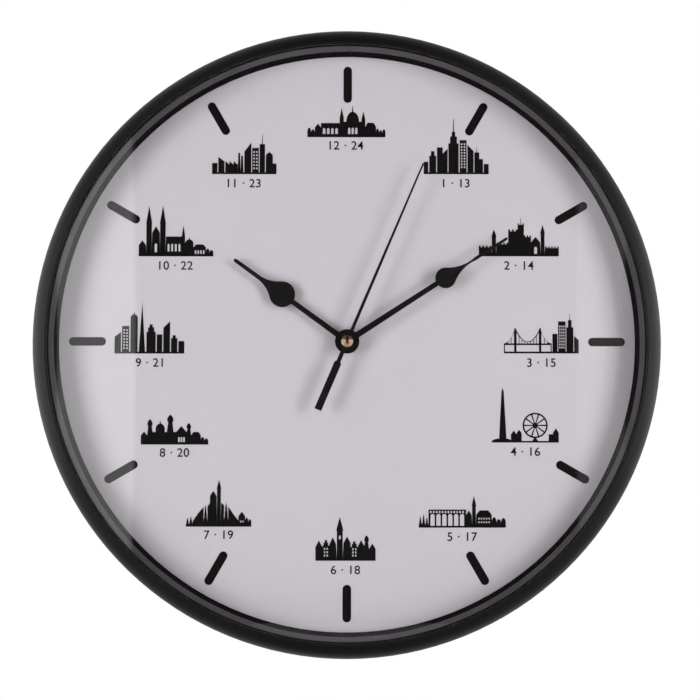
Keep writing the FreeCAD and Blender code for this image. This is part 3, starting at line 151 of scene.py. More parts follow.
class ClockDialSettings(bpy.types.PropertyGroup):
    """Colours and sizes of the dial and what is printed on it."""

    board: colour_setting(
        "Dial colour", "Colour of the printed dial board", (0.578, 0.540, 0.583))
    ink: colour_setting(
        "Ink colour", "Colour of the dial's printing", (0.0045, 0.0037, 0.0037))
    numeral_height: FloatProperty(
        name="Numeral height", description="Height of the small numerals under each townscape",
        default=0.0042, min=0.002, max=0.01, unit="LENGTH")
    boldness: FloatProperty(
        name="Numeral weight", description="How far the strokes are widened, as a share of the size",
        default=0.011, min=0.0, max=0.04)
    print_thick: FloatProperty(
        name="Ink thickness", description="How far the printing stands on the board",
        default=INK_THICK, min=0.00001, max=0.001, unit="LENGTH")


class ClockCaseSettings(bpy.types.PropertyGroup):
    """Finish of the moulded case and the inner ring."""

    case: colour_setting(
        "Case colour", "Colour of the moulded case", (0.0056, 0.0045, 0.0041))
    # The ring colour's faint lilac tint was set for the painted reflection of the lilac dial on the slope
    ring: colour_setting(
        "Ring colour", "Colour of the ring between glass and dial", (0.0085, 0.0078, 0.0084))
    case_roughness: FloatProperty(
        name="Case roughness", description="How soft the case's shine is",
        default=0.50, min=0.05, max=1.0, subtype="FACTOR")
    ring_roughness: FloatProperty(
        name="Ring roughness", description="How soft the inner ring's shine is",
        default=0.30, min=0.05, max=1.0, subtype="FACTOR")
    # The slope's paleness is a painted reflection of the dial, not the ring's own colour
    painted_reflection_share: FloatProperty(
        name="Slope", description="How many times paler the ring's slope is than its wall",
        default=10.0, min=1.0, max=20.0)


class ClockHandSettings(bpy.types.PropertyGroup):
    """Finish of the hands and of the cap in the middle."""

    paint: colour_setting(
        "Hand paint", "Colour of the painted hands", (0.0055, 0.0050, 0.0050))
    brass: colour_setting(
        "Cap brass", "Colour of the polished cap", (0.62, 0.40, 0.28))


class ClockStageSettings(bpy.types.PropertyGroup):
    """Floor and studio light."""

    floor: colour_setting(
        "Floor colour", "Colour of the plain floor", (0.86, 0.86, 0.86))
    floor_drop: FloatProperty(
        name="Floor drop", description="Room between the clock's lowest point and the floor",
        default=0.16, min=0.0, max=2.0, unit="LENGTH")
    side_power: FloatProperty(
        name="Side lamps", description="Power of each of the two side softboxes",
        default=7.0, min=0.0, max=500.0, unit="POWER")
    upper_power: FloatProperty(
        name="Upper lamp", description="Power of the softbox overhead",
        default=0.5, min=0.0, max=500.0, unit="POWER")
    lower_power: FloatProperty(
        name="Lower lamp", description="Power of the low fill light",
        default=0.35, min=0.0, max=500.0, unit="POWER")
    rear_power: FloatProperty(
        name="Rear lamps", description="Power of each of the two softboxes behind the clock",
        default=7.0, min=0.0, max=500.0, unit="POWER")
    ambient: FloatProperty(
        name="Room light", description="Strength of the even light from all sides",
        default=0.06, min=0.0, max=2.0, subtype="FACTOR")


# Node helpers


def feed(tree, socket, value):
    """Link a socket to another, or set it to a number or a colour."""
    if isinstance(value, bpy.types.NodeSocket):
        tree.links.new(value, socket)
    elif hasattr(value, "__len__"):
        socket.default_value = (*tuple(value)[:3], 1.0)
    else:
        socket.default_value = value


def object_place(tree):
    """The surface's place in object coordinates."""
    return tree.nodes.new("ShaderNodeTexCoord").outputs["Object"]


def maths(tree, operation, first, second):
    """A Math node between two sockets or numbers."""
    made = tree.nodes.new("ShaderNodeMath")
    made.operation = operation
    feed(tree, made.inputs[0], first)
    feed(tree, made.inputs[1], second)
    return made.outputs[0]


def scaled(tree, vector, share):
    """A vector or colour times a number."""
    made = tree.nodes.new("ShaderNodeVectorMath")
    made.operation = "SCALE"
    tree.links.new(vector, made.inputs[0])
    feed(tree, made.inputs["Scale"], share)
    return made.outputs["Vector"]


def spread(tree, source, low_in, high_in, low_out, high_out):
    """A Map Range node from one socket."""
    made = tree.nodes.new("ShaderNodeMapRange")
    ends = {"Value": source, "From Min": low_in, "From Max": high_in, "To Min": low_out, "To Max": high_out}
    for name, value in ends.items():
        feed(tree, made.inputs[name], value)
    return made.outputs["Result"]


def tint(tree, amount, first, second):
    """A colour mix between two sockets or colours."""
    made = tree.nodes.new("ShaderNodeMix")
    made.data_type = "RGBA"
    for name, value in (("Factor", amount), ("A", first), ("B", second)):
        feed(tree, next(s for s in made.inputs if s.name == name and s.enabled), value)
    return next(s for s in made.outputs if s.enabled)


def noise(tree, vector, scale, detail=3.0, rough=0.5):
    """Noise of so many waves a metre, on object coordinates."""
    made = tree.nodes.new("ShaderNodeTexNoise")
    for name, value in (("Vector", vector), ("Scale", scale), ("Detail", detail), ("Roughness", rough)):
        feed(tree, made.inputs[name], value)
    return made.outputs["Fac"]


def distance_from(tree, keep, centre):
    """How far the surface is from a centre, measured only along the kept axes."""
    level = tree.nodes.new("ShaderNodeVectorMath")
    level.operation = "MULTIPLY"
    level.inputs[1].default_value = keep
    tree.links.new(object_place(tree), level.inputs[0])
    reach = tree.nodes.new("ShaderNodeVectorMath")
    reach.operation = "DISTANCE"
    tree.links.new(level.outputs["Vector"], reach.inputs[0])
    reach.inputs[1].default_value = centre
    return reach.outputs["Value"]


def new_group(name, inputs, outputs):
    """An empty shader group with named sockets."""
    tree = bpy.data.node_groups.new(name, "ShaderNodeTree")
    for label, kind, value in inputs:
        socket = tree.interface.new_socket(label, in_out="INPUT", socket_type=kind)
        socket.default_value = value
    for label, kind in outputs:
        tree.interface.new_socket(label, in_out="OUTPUT", socket_type=kind)
    return tree, tree.nodes.new("NodeGroupInput"), tree.nodes.new("NodeGroupOutput")


FLOAT = "NodeSocketFloat"
COLOUR = "NodeSocketColor"
GREY = (0.5, 0.5, 0.5, 1.0)
FINISH = "_finish"

# The part of a noise over which a value swings, and over which patches and streaks come in
NOISE_SWING = (0.3, 0.7)
NOISE_PATCH = (0.35, 0.65)

# Sharp turns of the surface, from where wear starts to where it is full
WORN_TURNS = (0.52, 0.60)

# How much of a moulding's mottle comes from its grain, and how much from its clouds
GRAIN_SHARE = 0.6
CLOUD_SHARE = 0.4

# Worn edges of mouldings and paint: how much paler than the colour under them
PALE_BASE = 0.04
PALE_SHARE = 1.6
WORN_METAL = (0.9, 0.88, 0.85)


def uneven_shine(tree, given, source):
    """A group's roughness, swung by its spread along a noise."""
    rough, swing = given.outputs["Roughness"], given.outputs["Roughness Spread"]
    return spread(tree, source, *NOISE_SWING, maths(tree, "SUBTRACT", rough, swing),
                  maths(tree, "ADD", rough, swing))


def mould_group():
    """Fine moulded or coated surface: mottled colour, uneven shine and a fine grain."""
    name = "Moulded Grain"
    if name in bpy.data.node_groups:
        return bpy.data.node_groups[name]
    tree, given, out = new_group(
        name,
        [("Colour", COLOUR, GREY), ("Colour Spread", FLOAT, 0.1), ("Grain Waves", FLOAT, 2500.0),
         ("Cloud Waves", FLOAT, 40.0), ("Roughness", FLOAT, 0.4), ("Roughness Spread", FLOAT, 0.05)],
        [("Colour", COLOUR), ("Roughness", FLOAT), ("Height", FLOAT)])
    place = object_place(tree)
    grain = noise(tree, place, given.outputs["Grain Waves"], 2.0, 0.6)
    cloud = noise(tree, place, given.outputs["Cloud Waves"], 3.0, 0.55)
    half = maths(tree, "MULTIPLY", given.outputs["Colour Spread"], 0.5)
    low = maths(tree, "SUBTRACT", 1.0, half)
    high = maths(tree, "ADD", 1.0, half)
    mottled = maths(tree, "ADD", maths(tree, "MULTIPLY", grain, GRAIN_SHARE),
                    maths(tree, "MULTIPLY", cloud, CLOUD_SHARE))
    level = spread(tree, mottled, *NOISE_SWING, low, high)
    tree.links.new(scaled(tree, given.outputs["Colour"], level), out.inputs["Colour"])
    tree.links.new(uneven_shine(tree, given, cloud), out.inputs["Roughness"])
    tree.links.new(grain, out.inputs["Height"])
    return tree


def wear_group():
    """Handled edges: a mask and a paler colour where the surface turns sharply."""
    name = "Edge Wear"
    if name in bpy.data.node_groups:
        return bpy.data.node_groups[name]
    tree, given, out = new_group(
        name,
        [("Colour", COLOUR, GREY), ("Worn Colour", COLOUR, GREY), ("Amount", FLOAT, 0.3),
         ("Break Waves", FLOAT, 300.0)],
        [("Colour", COLOUR), ("Mask", FLOAT)])
    sharp = tree.nodes.new("ShaderNodeNewGeometry").outputs["Pointiness"]
    broken = noise(tree, object_place(tree), given.outputs["Break Waves"], 4.0, 0.6)
    edge = spread(tree, sharp, *WORN_TURNS, 0.0, 1.0)
    patchy = maths(tree, "MULTIPLY", edge, spread(tree, broken, *NOISE_PATCH, 0.2, 1.0))
    mask = maths(tree, "MULTIPLY", patchy, given.outputs["Amount"])
    shown = tint(tree, mask, given.outputs["Colour"], given.outputs["Worn Colour"])
    tree.links.new(shown, out.inputs["Colour"])
    tree.links.new(mask, out.inputs["Mask"])
    return tree


def brushed_group():
    """Rolled or drawn metal: fine streaks along one axis."""
    name = "Rolled Streaks"
    if name in bpy.data.node_groups:
        return bpy.data.node_groups[name]
    tree, given, out = new_group(
        name,
        [("Colour", COLOUR, GREY), ("Streak Colour", COLOUR, GREY), ("Along", FLOAT, 60.0),
         ("Across", FLOAT, 2600.0), ("Roughness", FLOAT, 0.3), ("Roughness Spread", FLOAT, 0.08)],
        [("Colour", COLOUR), ("Roughness", FLOAT), ("Height", FLOAT)])
    stretch = tree.nodes.new("ShaderNodeCombineXYZ")
    for axis, waves in (("X", "Along"), ("Y", "Across"), ("Z", "Across")):
        tree.links.new(given.outputs[waves], stretch.inputs[axis])
    drawn = tree.nodes.new("ShaderNodeVectorMath")
    drawn.operation = "MULTIPLY"
    tree.links.new(object_place(tree), drawn.inputs[0])
    tree.links.new(stretch.outputs["Vector"], drawn.inputs[1])
    streak = noise(tree, drawn.outputs["Vector"], 1.0, 3.0, 0.6)
    mask = spread(tree, streak, *NOISE_PATCH, 0.0, 1.0)
    shown = tint(tree, mask, given.outputs["Colour"], given.outputs["Streak Colour"])
    tree.links.new(shown, out.inputs["Colour"])
    tree.links.new(uneven_shine(tree, given, streak), out.inputs["Roughness"])
    tree.links.new(streak, out.inputs["Height"])
    return tree


def place_group(tree, group, **values):
    """A shader group in a material; its inputs are given with underscores for spaces."""
    made = tree.nodes.new("ShaderNodeGroup")
    made.node_tree = group
    for key, value in values.items():
        feed(tree, made.inputs[key.replace("_", " ")], value)
    return made


def bump(tree, shader, height, distance):
    """Feed a height in metres into the shader's normal."""
    made = tree.nodes.new("ShaderNodeBump")
    made.inputs["Strength"].default_value = 1.0
    made.inputs["Distance"].default_value = distance
    tree.links.new(height, made.inputs["Height"])
    tree.links.new(made.outputs["Normal"], shader.inputs["Normal"])


def new_material(name):
    """An empty node material with its Principled shader, named for its slot."""
    made = bpy.data.materials.new(name + FINISH)
    made.use_nodes = True
    return made, made.node_tree, made.node_tree.nodes["Principled BSDF"]


def join(tree, shader, group, depth=0.0, wear=0.0, worn=None):
    """Join a finish's colour, shine and grain to its shader, with handled edges where it is worn."""
    colour = group.outputs["Colour"]
    if wear > 0:
        edges = place_group(tree, wear_group(), Colour=colour, Worn_Colour=worn, Amount=wear)
        colour = edges.outputs["Colour"]
    tree.links.new(colour, shader.inputs["Base Color"])
    tree.links.new(group.outputs["Roughness"], shader.inputs["Roughness"])
    if depth > 0:
        bump(tree, shader, group.outputs["Height"], depth)


def mix_over(tree, amount, other):
    """Mix another shader over the material's own by this amount."""
    mix = tree.nodes.new("ShaderNodeMixShader")
    tree.links.new(amount, mix.inputs["Fac"])
    tree.links.new(tree.nodes["Principled BSDF"].outputs["BSDF"], mix.inputs[1])
    tree.links.new(other.outputs[0], mix.inputs[2])
    tree.links.new(mix.outputs["Shader"], tree.nodes["Material Output"].inputs["Surface"])


def moulded(name, colour, roughness, spread_share=0.25, grain=2500.0, cloud=40.0, swing=0.05,
            depth=0.000008, wear=0.0, specular=0.5):
    """Moulded plastic, paint or card with a fine grain, uneven shine and handled edges."""
    if name + FINISH in bpy.data.materials:
        return bpy.data.materials[name + FINISH]
    made, tree, shader = new_material(name)
    group = place_group(
        tree, mould_group(), Colour=colour, Colour_Spread=spread_share, Grain_Waves=grain,
        Cloud_Waves=cloud, Roughness=roughness, Roughness_Spread=swing)
    worn = tuple(min(1.0, PALE_BASE + PALE_SHARE * c) for c in tuple(colour)[:3])
    join(tree, shader, group, depth, wear, worn)
    shader.inputs["Specular IOR Level"].default_value = specular
    return made


def metal(name, colour, streak, roughness, swing=0.08, along=60.0, across=2600.0, depth=0.000002,
          wear=0.0):
    """Bare or plated metal with rolled or drawn streaks."""
    if name + FINISH in bpy.data.materials:
        return bpy.data.materials[name + FINISH]
    made, tree, shader = new_material(name)
    group = place_group(
        tree, brushed_group(), Colour=colour, Streak_Colour=streak, Along=along, Across=across,
        Roughness=roughness, Roughness_Spread=swing)
    join(tree, shader, group, depth, wear, WORN_METAL)
    shader.inputs["Metallic"].default_value = 1.0
    return made


def add_object(name, data):
    """A new object in the scene."""
    made = bpy.data.objects.new(name, data)
    bpy.context.scene.collection.objects.link(made)
    return made


def dress(names, material):
    """Give CAD nodes their finish."""
    for name in names:
        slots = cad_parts[name].data.materials
        if len(slots) == 0:
            slots.append(material)
        for index in range(len(slots)):
            slots[index] = material


# Pieces


class CLOCK_OT_case(bpy.types.Operator):
    """Case ring: satin black moulding with a fine grain."""

    bl_idname = "clock.case"
    bl_label = "Case ring"

    def execute(self, context):
        settings = context.scene.clock_case
        dress(["case_ring"], moulded(
            "case_black", settings.case, settings.case_roughness, spread_share=0.3, grain=1500.0,
            cloud=18.0, swing=0.03, depth=0.000006, specular=0.38))
        return {"FINISHED"}


class CLOCK_OT_glass(bpy.types.Operator):
    """Flat clear glass that lets the lamps through."""

    bl_idname = "clock.glass"
    bl_label = "Glass"

    def execute(self, context):
        made, tree, shader = new_material("clear_glass")
        shader.inputs["Base Color"].default_value = (*GLASS_COLOUR, 1.0)
        shader.inputs["Transmission Weight"].default_value = 1.0
        shader.inputs["Metallic"].default_value = 0.0
        shader.inputs["IOR"].default_value = GLASS_IOR
        smear = noise(tree, object_place(tree), SMEAR_WAVES, rough=0.6)
        tree.links.new(spread(tree, smear, *SMEAR_NOISE, *SMEAR_ROUGHNESS), shader.inputs["Roughness"])
        path = tree.nodes.new("ShaderNodeLightPath")
        lit = maths(tree, "MAXIMUM", path.outputs["Is Shadow Ray"], path.outputs["Is Diffuse Ray"])
        mix_over(tree, lit, tree.nodes.new("ShaderNodeBsdfTransparent"))
        dress(["glass"], made)
        return {"FINISHED"}


class CLOCK_OT_inner_ring(bpy.types.Operator):
    """Ring between glass and dial: smooth black strip, with a painted reflection of the dial on its slope."""

    bl_idname = "clock.inner_ring"
    bl_label = "Inner ring"

    def execute(self, context):
        settings = context.scene.clock_case
        made = moulded(
            "ring_black", settings.ring, settings.ring_roughness, spread_share=0.3, grain=2200.0,
            cloud=30.0, swing=0.03, depth=0.000002, specular=0.0)
        self.paint_dial_reflection(made.node_tree, settings)
        dress(["inner_ring"], made)
        return {"FINISHED"}

    def paint_dial_reflection(self, tree, settings):
        """Paint the slope just under the glass paler than the steep black wall below it, as a painted
        reflection of the dial.
        """
        shader = tree.nodes["Principled BSDF"]
        dark = shader.inputs["Base Color"].links[0].from_socket
        radius = distance_from(tree, (1.0, 0.0, 1.0), (DIAL_CENTRE.x, 0.0, DIAL_CENTRE.z))
        # Mask of the slope between wall and glass, where the dial's reflection is painted as a paler colour
        begun = spread(tree, radius, RING_WALL_END, RING_WALL_END + WALL_BLEND, 0.0, 1.0)
        left = spread(tree, radius, RING_SLOPE_END, RING_SLOPE_END + SLOPE_BLEND, 1.0, 0.0)
        slope = maths(tree, "MULTIPLY", begun, left)
        pale = scaled(tree, dark, settings.painted_reflection_share)
        tree.links.new(tint(tree, slope, dark, pale), shader.inputs["Base Color"])


class CLOCK_OT_dial(bpy.types.Operator):
    """Dial board: pale printed card with a faint tooth, and its hour marks."""

    bl_idname = "clock.dial"
    bl_label = "Dial and hour marks"

    def execute(self, context):
        settings = context.scene.clock_dial
        dress(["dial"], moulded(
            "dial_print", settings.board, 0.62, spread_share=0.035, grain=1800.0, cloud=9.0,
            swing=0.03, depth=0.000003, specular=0.25))
        dress(["hour_marks"], ink_material(settings))
        return {"FINISHED"}


def ink_material(settings):
    """Screen-printed black ink: near black with a faint dry mottle."""
    return moulded("ink_black", settings.ink, 0.60, spread_share=0.5, grain=2600.0, cloud=60.0,
                   swing=0.06, depth=0.000003, specular=0.12)


# Townscapes


def arc(x, y, reach, rise, turns):
    """Points round an oval at these angles."""
    return [(x + reach * math.cos(turn), y + rise * math.sin(turn)) for turn in turns]


def half_turn(count):
    """Angles from the left end of an arch over its top to the right end."""
    return [math.pi * (1 - k / count) for k in range(count + 1)]


def flat(width, height):
    """A flat-roofed block."""
    return width, [(0, height), (width, height)], []


def gap(width):
    """Open ground between two buildings."""
    return flat(width, GROUND)


def gable(width, wall, rise):
    """A house end with a pointed roof."""
    return width, [(0, wall), (width / 2, wall + rise), (width, wall)], []


def slant(width, left, right):
    """A block under one sloping roof."""
    return width, [(0, left), (width, right)], []


def hipped(width, wall, rise, share=0.22):
    """A hall with a roof that slopes at both ends."""
    top = wall + rise
    return width, [(0, wall), (width * share, top), (width * (1 - share), top), (width, wall)], []


def steps(width, heights):
    """A tower block that steps in towards its top."""
    count = len(heights)
    inset = width / (2 * count)
    left = []
    for k, height in enumerate(heights):
        left += [(k * inset, height)] if k == 0 else [(k * inset, heights[k - 1]), (k * inset, height)]
    right = [(width - x, y) for x, y in reversed(left)]
    return width, left + right, []


def mast(shape, rise, thick=0.35):
    """A thin mast on top of another form's middle."""
    width, points, holes = shape
    top = max(y for _, y in points)
    middle = width / 2
    left = [p for p in points if p[0] <= middle - thick]
    right = [p for p in points if p[0] >= middle + thick]
    left_end, right_end = left[-1][1], right[0][1]
    pole = [(middle - thick / 2, max(left_end, right_end)), (middle - thick / 4, top + rise),
            (middle + thick / 4, top + rise), (middle + thick / 2, max(left_end, right_end))]
    return width, left + pole + right, holes


def spire(width, wall, rise, brim=0.0):
    """A square tower under a pointed roof, with eaves that stand out by brim."""
    points = [(brim, GROUND)] if brim else []
    points += [(brim, wall), (0, wall), (width / 2, wall + rise), (width, wall), (width - brim, wall)]
    points += [(width - brim, GROUND)] if brim else []
    return width, points, []


def dome(width, wall, rise, finial=1.0, shoulder=0.0):
    """A domed hall with a finial; shoulder is the width of flat roof on each side."""
    points = arc(width / 2, wall, width / 2 - shoulder, rise, half_turn(14))
    middle = len(points) // 2
    tip, foot = wall + rise + finial, wall + rise - 0.05
    pole = [(width / 2 + x, y) for x, y in ((-0.35, foot), (-0.12, tip), (0.12, tip), (0.35, foot))]
    points = points[:middle] + pole + points[middle + 1:]
    if shoulder:
        points = [(0, wall)] + points + [(width, wall)]
    return width, points, []


def onion(width, wall, rise):
    """A narrow tower under a swelling dome that runs out to a point."""
    neck = width * 0.16
    left = [(neck, wall)]
    for k in range(9):
        share = k / 8
        swell = math.sin(math.pi * min(1.0, share * 1.18 + 0.12)) ** 0.8 if share < 0.86 else 0.0
        reach = (width / 2) * swell * (1 - share * 0.25) + 0.08 * (1 - share)
        left.append((width / 2 - reach, wall + rise * share))
    right = [(width - x, y) for x, y in reversed(left)]
    return width, left + right, []


def taper(width, foot_share, height, cap=0.0):
    """A mast or chimney that narrows upwards, with an optional pointed cap."""
    inset = width * (1 - foot_share) / 2
    points = [(0, GROUND), (inset, height)]
    points += [(width / 2, height + cap)] if cap else []
    return width, points + [(width - inset, height), (width, GROUND)], []


def battlement(width, height, teeth, depth=0.8):
    """A wall with square teeth along its top."""
    pitch = width / (2 * teeth - 1)
    points = []
    for k in range(teeth):
        left = 2 * k * pitch
        points += [(left, height), (left + pitch, height)]
        if k < teeth - 1:
            points += [(left + pitch, height - depth), (left + 2 * pitch, height - depth)]
    return width, points, []


def saw(width, wall, rise, teeth):
    """A workshop roof of upright-and-slope teeth."""
    pitch = width / teeth
    points = []
    for k in range(teeth):
        points += [(k * pitch, wall), (k * pitch, wall + rise), ((k + 1) * pitch, wall)]
    return width, points, []


def trees(width, height, crowns):
    """Round crowns side by side."""
    pitch = width / crowns
    points = []
    for k in range(crowns):
        tall = height * (1.0, 0.82, 0.93)[k % 3]
        points += arc(k * pitch + pitch / 2, tall * 0.55, pitch / 2, tall * 0.45, half_turn(6))
    return width, points, []


def firs(width, height, count):
    """Pointed fir trees side by side."""
    pitch = width / count
    points = []
    side = [(0.0, 0.25), (0.24, 0.50), (0.12, 0.46), (0.34, 0.74), (0.24, 0.70)]
    tree = side + [(0.5, 1.0)] + [(1 - out, share) for out, share in reversed(side)]
    for k in range(count):
        tall = height * (0.85, 1.0, 0.78)[k % 3]
        points += [(k * pitch + pitch * out, tall * share) for out, share in tree]
    return width, points, []


def hill(width, left, right, crest):
    """Rising ground between two heights."""
    points = []
    for k in range(13):
        share = k / 12
        points.append((width * share, left + (right - left) * share + crest * math.sin(math.pi * share)))
    return width, points, []


def wheel(radius, hub_height, spokes=10):
    """A fairground wheel: a rim with open sectors on splayed legs."""
    width, low = 2 * radius, hub_height - radius + 0.12
    rim = arc(radius, hub_height, radius, radius, [math.radians(-98 - 344 * k / 40) for k in range(41)])
    points = [(0, GROUND), (radius - 1.6, GROUND), (radius - 0.5, low)] + rim
    points += [(radius + 0.5, low), (radius + 1.6, GROUND), (width, GROUND)]
    holes = []
    for k in range(spokes):
        middle = 2 * math.pi * (k + 0.5) / spokes
        half = math.pi / spokes - 0.07
        outer = [middle - half + 2 * half * j / 4 for j in range(5)]
        inner = [middle + (half - 2 * half * j / 2) * 0.5 for j in range(3)]
        holes.append(arc(radius, hub_height, 0.87 * radius, 0.87 * radius, outer)
                     + arc(radius, hub_height, 0.22 * radius, 0.22 * radius, inner))
    return width, points, holes


def span(width, deck, tower, place=0.24, thick=0.8):
    """A hanging bridge: two towers, a sagging cable, a deck and open hangers."""
    first, second = width * place, width * (1 - place)
    half, pitch, hanger, rope, crown, pier = 0.45, 1.25, 0.16, 0.34, 0.7, 0.55
    road = deck + thick
    sag_low = road + 0.9

    def rising(share):
        return road + (tower - road) * share ** 2.0

    def sagging(share):
        return sag_low + (tower - sag_low) * (2 * share - 1) ** 2

    def cable(x):
        if first <= x <= second:
            return sagging((x - first) / (second - first))
        return rising(min(x, width - x) / first)

    def pylon(x):
        top = tower + crown
        return [(x - half, tower), (x - half, top), (x + half, top), (x + half, tower)]

    rise = [(first * k / 6, rising(k / 6)) for k in range(6)]
    points = rise + pylon(first)
    points += [(first + half + (second - first - 2 * half) * k / 12, sagging(k / 12)) for k in range(1, 12)]
    points += pylon(second) + [(width - x, y) for x, y in reversed(rise)]
    holes = []
    fields = ((first * 0.35, first - half), (first + half, second - half),
              (second + half, width - first * 0.35))
    for start, end in fields:
        count = max(1, int((end - start) / pitch))
        room = (end - start) / count
        for k in range(count):
            left, right = start + k * room + hanger, start + (k + 1) * room - hanger
            top_left, top_right = cable(left) - rope, cable(right) - rope
            if min(top_left, top_right) > road + 0.25:
                holes.append([(left, road), (right, road), (right, top_right), (left, top_left)])
    under = ((0.5, first - pier), (first + pier, second - pier), (second + pier, width - 0.5))
    for start, end in under:
        holes.append([(start, GROUND), (end, GROUND), (end, deck), (start, deck)])
    return width, points, holes


def with_holes(shape, holes):
    """The form with more openings."""
    return shape[0], shape[1], shape[2] + holes


def panes(left, low, columns, rows, size=(0.55, 0.7), pitch=(1.0, 1.25)):
    """A grid of small square windows."""
    found = []
    for column in range(columns):
        for row in range(rows):
            x, y = left + column * pitch[0], low + row * pitch[1]
            found.append([(x, y), (x + size[0], y), (x + size[0], y + size[1]), (x, y + size[1])])
    return found


def arches(left, low, count, wide, tall, pitch):
    """A row of round-headed openings."""
    found = []
    for k in range(count):
        x = left + k * pitch
        top = arc(x + wide / 2, low + tall - wide / 2, wide / 2, wide / 2, reversed(half_turn(6)))
        found.append([(x, low), (x + wide, low)] + top)
    return found


